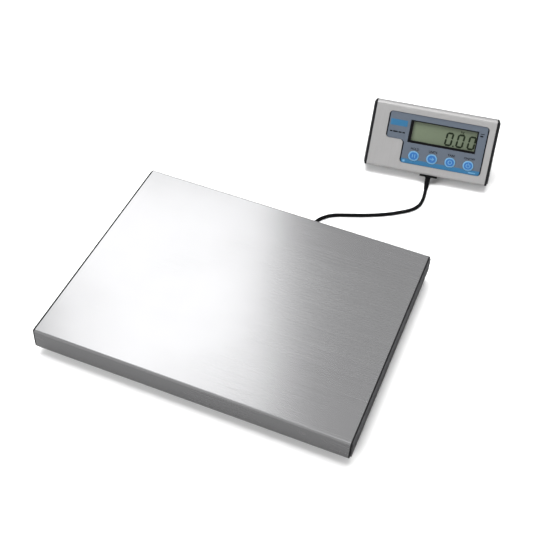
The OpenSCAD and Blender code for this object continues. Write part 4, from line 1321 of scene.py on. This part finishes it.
class WEIGH_OT_door_ridges(bpy.types.Operator):
    """Adds the finger ridges on the battery door"""

    bl_idname = "weigh.door_ridges"
    bl_label = "Door ridges"
    bl_options = {"REGISTER", "UNDO"}

    def execute(self, context):
        """Five short bars with rounded tops, side by side up the door's lower end."""
        scale = context.scene.scale_look
        low, high = face_box("battery_door")
        middle = (low[0] + high[0]) / 2
        place = turned_place(shifted(FACE, (middle, low[1], 0)), [[-1, 0, 0], [0, 1, 0], [0, 0, -1]])
        half, first, pitch, width = 7 * MM, 7 * MM, 2.6 * MM, 1.1 * MM
        bars = [slab(rectangle(-half, y, half, y + width), 0.5 * MM, -0.3 * MM, 0.7 * MM, 0.45 * MM)
                for y in first + pitch * np.arange(5)]
        piece("battery_door_ridges", bars, finishes(scale)["grey_housing"], place=place)
        return {"FINISHED"}


class WEIGH_OT_screws(bpy.types.Operator):
    """Adds the cross-head screws of the display"""

    bl_idname = "weigh.screws"
    bl_label = "Screws"
    bl_options = {"REGISTER", "UNDO"}

    def execute(self, context):
        """Every head lies on its node's outer side, and its shank fills the node's depth. A
        screw's sizes are its head's radius and height and its shank's radius."""
        scale = context.scene.scale_look
        black = finishes(scale)["black_screw"]
        low, high = face_box("case_screws")
        case = (2.9 * MM, 1.4 * MM, 1.5 * MM)
        heads = [(x, y) for x in (low[0] + case[0], high[0] - case[0])
                 for y in (low[1] + case[0], high[1] - case[0])]
        grids = [self.screw(*case, high[2] - low[2]) + [x, y, low[2]] for x, y in heads]
        piece("cross_head_case_screws", grids, black, place=FACE, replaces=["case_screws"],
              sharp=32)
        low, high = face_box("door_screw")
        x, y = (low[:2] + high[:2]) / 2
        door = (2.1 * MM, 1.3 * MM, 1.1 * MM)
        grids = [self.screw(*door, high[2] - low[2]) + [x, y, low[2]]]
        piece("cross_head_door_screw", grids, black, place=FACE, replaces=["door_screw"],
              sharp=32)
        low, high = face_box("gland_screws")
        gland = (2.1 * MM, 1.2 * MM, 1.1 * MM)
        middle = (low[2] + high[2]) / 2
        place = turned_place(shifted(FACE, (0, low[1], middle)), [[1, 0, 0], [0, 0, -1], [0, 1, 0]])
        grids = [self.screw(*gland, high[1] - low[1]) + [x, 0, 0]
                 for x in (low[0] + gland[0], high[0] - gland[0])]
        piece("cross_head_gland_screws", grids, black, place=place, replaces=["gland_screws"],
              sharp=32)
        return {"FINISHED"}

    def screw(self, head, height, shank, length):
        """Head first, along z. The face is a low dome, cut down inside a cross whose arms
        narrow with depth, and the cross ends at a little over half the head's radius."""
        rings = np.linspace(0, 0.96, 30) * head
        dome = 0.12 * height * (rings / head) ** 2
        profile = [*zip(rings, dome), (head, 0.3 * height), (head, height - 0.1 * MM),
                   (head - 0.1 * MM, height), (shank, height), (shank, length - 0.5 * MM),
                   (shank * 0.5, length), (0, length)]
        grid = turned(profile, 96)
        x, y, z = grid[..., 0], grid[..., 1], grid[..., 2]
        arm = np.minimum(np.abs(x), np.abs(y))
        in_arm = np.clip((0.17 * head - arm) / (0.08 * head), 0, 1)
        in_reach = np.clip((0.58 * head - np.hypot(x, y)) / (0.1 * head), 0, 1)
        grid[..., 2] = z + (z < 0.25 * height) * in_arm * in_reach * 0.5 * height
        return grid


class WEIGH_OT_finishes(bpy.types.Operator):
    """Gives every node that still shows its finish"""

    bl_idname = "weigh.finishes"
    bl_label = "Finishes"
    bl_options = {"REGISTER", "UNDO"}

    def execute(self, context):
        """A slot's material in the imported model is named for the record's slot."""
        scale = context.scene.scale_look
        kit = finishes(scale)
        for obj in frame["nodes"].values():
            for entry in obj.material_slots:
                entry.material = kit[entry.material.name.split(".")[0]]
        return {"FINISHED"}


class WEIGH_PT_panel(bpy.types.Panel):
    """Lists the builders in the sidebar"""

    bl_label = "Platform scale"
    bl_space_type = "VIEW_3D"
    bl_region_type = "UI"
    bl_category = "Scale"

    def draw(self, context):
        for builder in BUILDERS:
            self.layout.operator(builder.bl_idname)


BUILDERS = (WEIGH_OT_stage, WEIGH_OT_lead, WEIGH_OT_strain_relief, WEIGH_OT_cover, WEIGH_OT_side_trims,
            WEIGH_OT_feet, WEIGH_OT_end_caps, WEIGH_OT_readout, WEIGH_OT_keys, WEIGH_OT_print,
            WEIGH_OT_door_ridges, WEIGH_OT_screws, WEIGH_OT_finishes)
CLASSES = (PlatformLook, DisplayLook, LeadLook, StageLook, ScaleLook, *BUILDERS, WEIGH_PT_panel)


def register():
    """Registers the classes and hangs the settings on the scene."""
    for cls in CLASSES:
        bpy.utils.register_class(cls)
    bpy.types.Scene.scale_look = PointerProperty(type=ScaleLook)


def unregister():
    """Takes back what register did."""
    del bpy.types.Scene.scale_look
    for cls in reversed(CLASSES):
        bpy.utils.unregister_class(cls)


def main():
    """Builds the scale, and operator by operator."""
    register()
    for builder in BUILDERS:
        group, name = builder.bl_idname.split(".")
        getattr(getattr(bpy.ops, group), name)()
    bpy.context.view_layer.update()


if __name__ == "__main__":
    main()
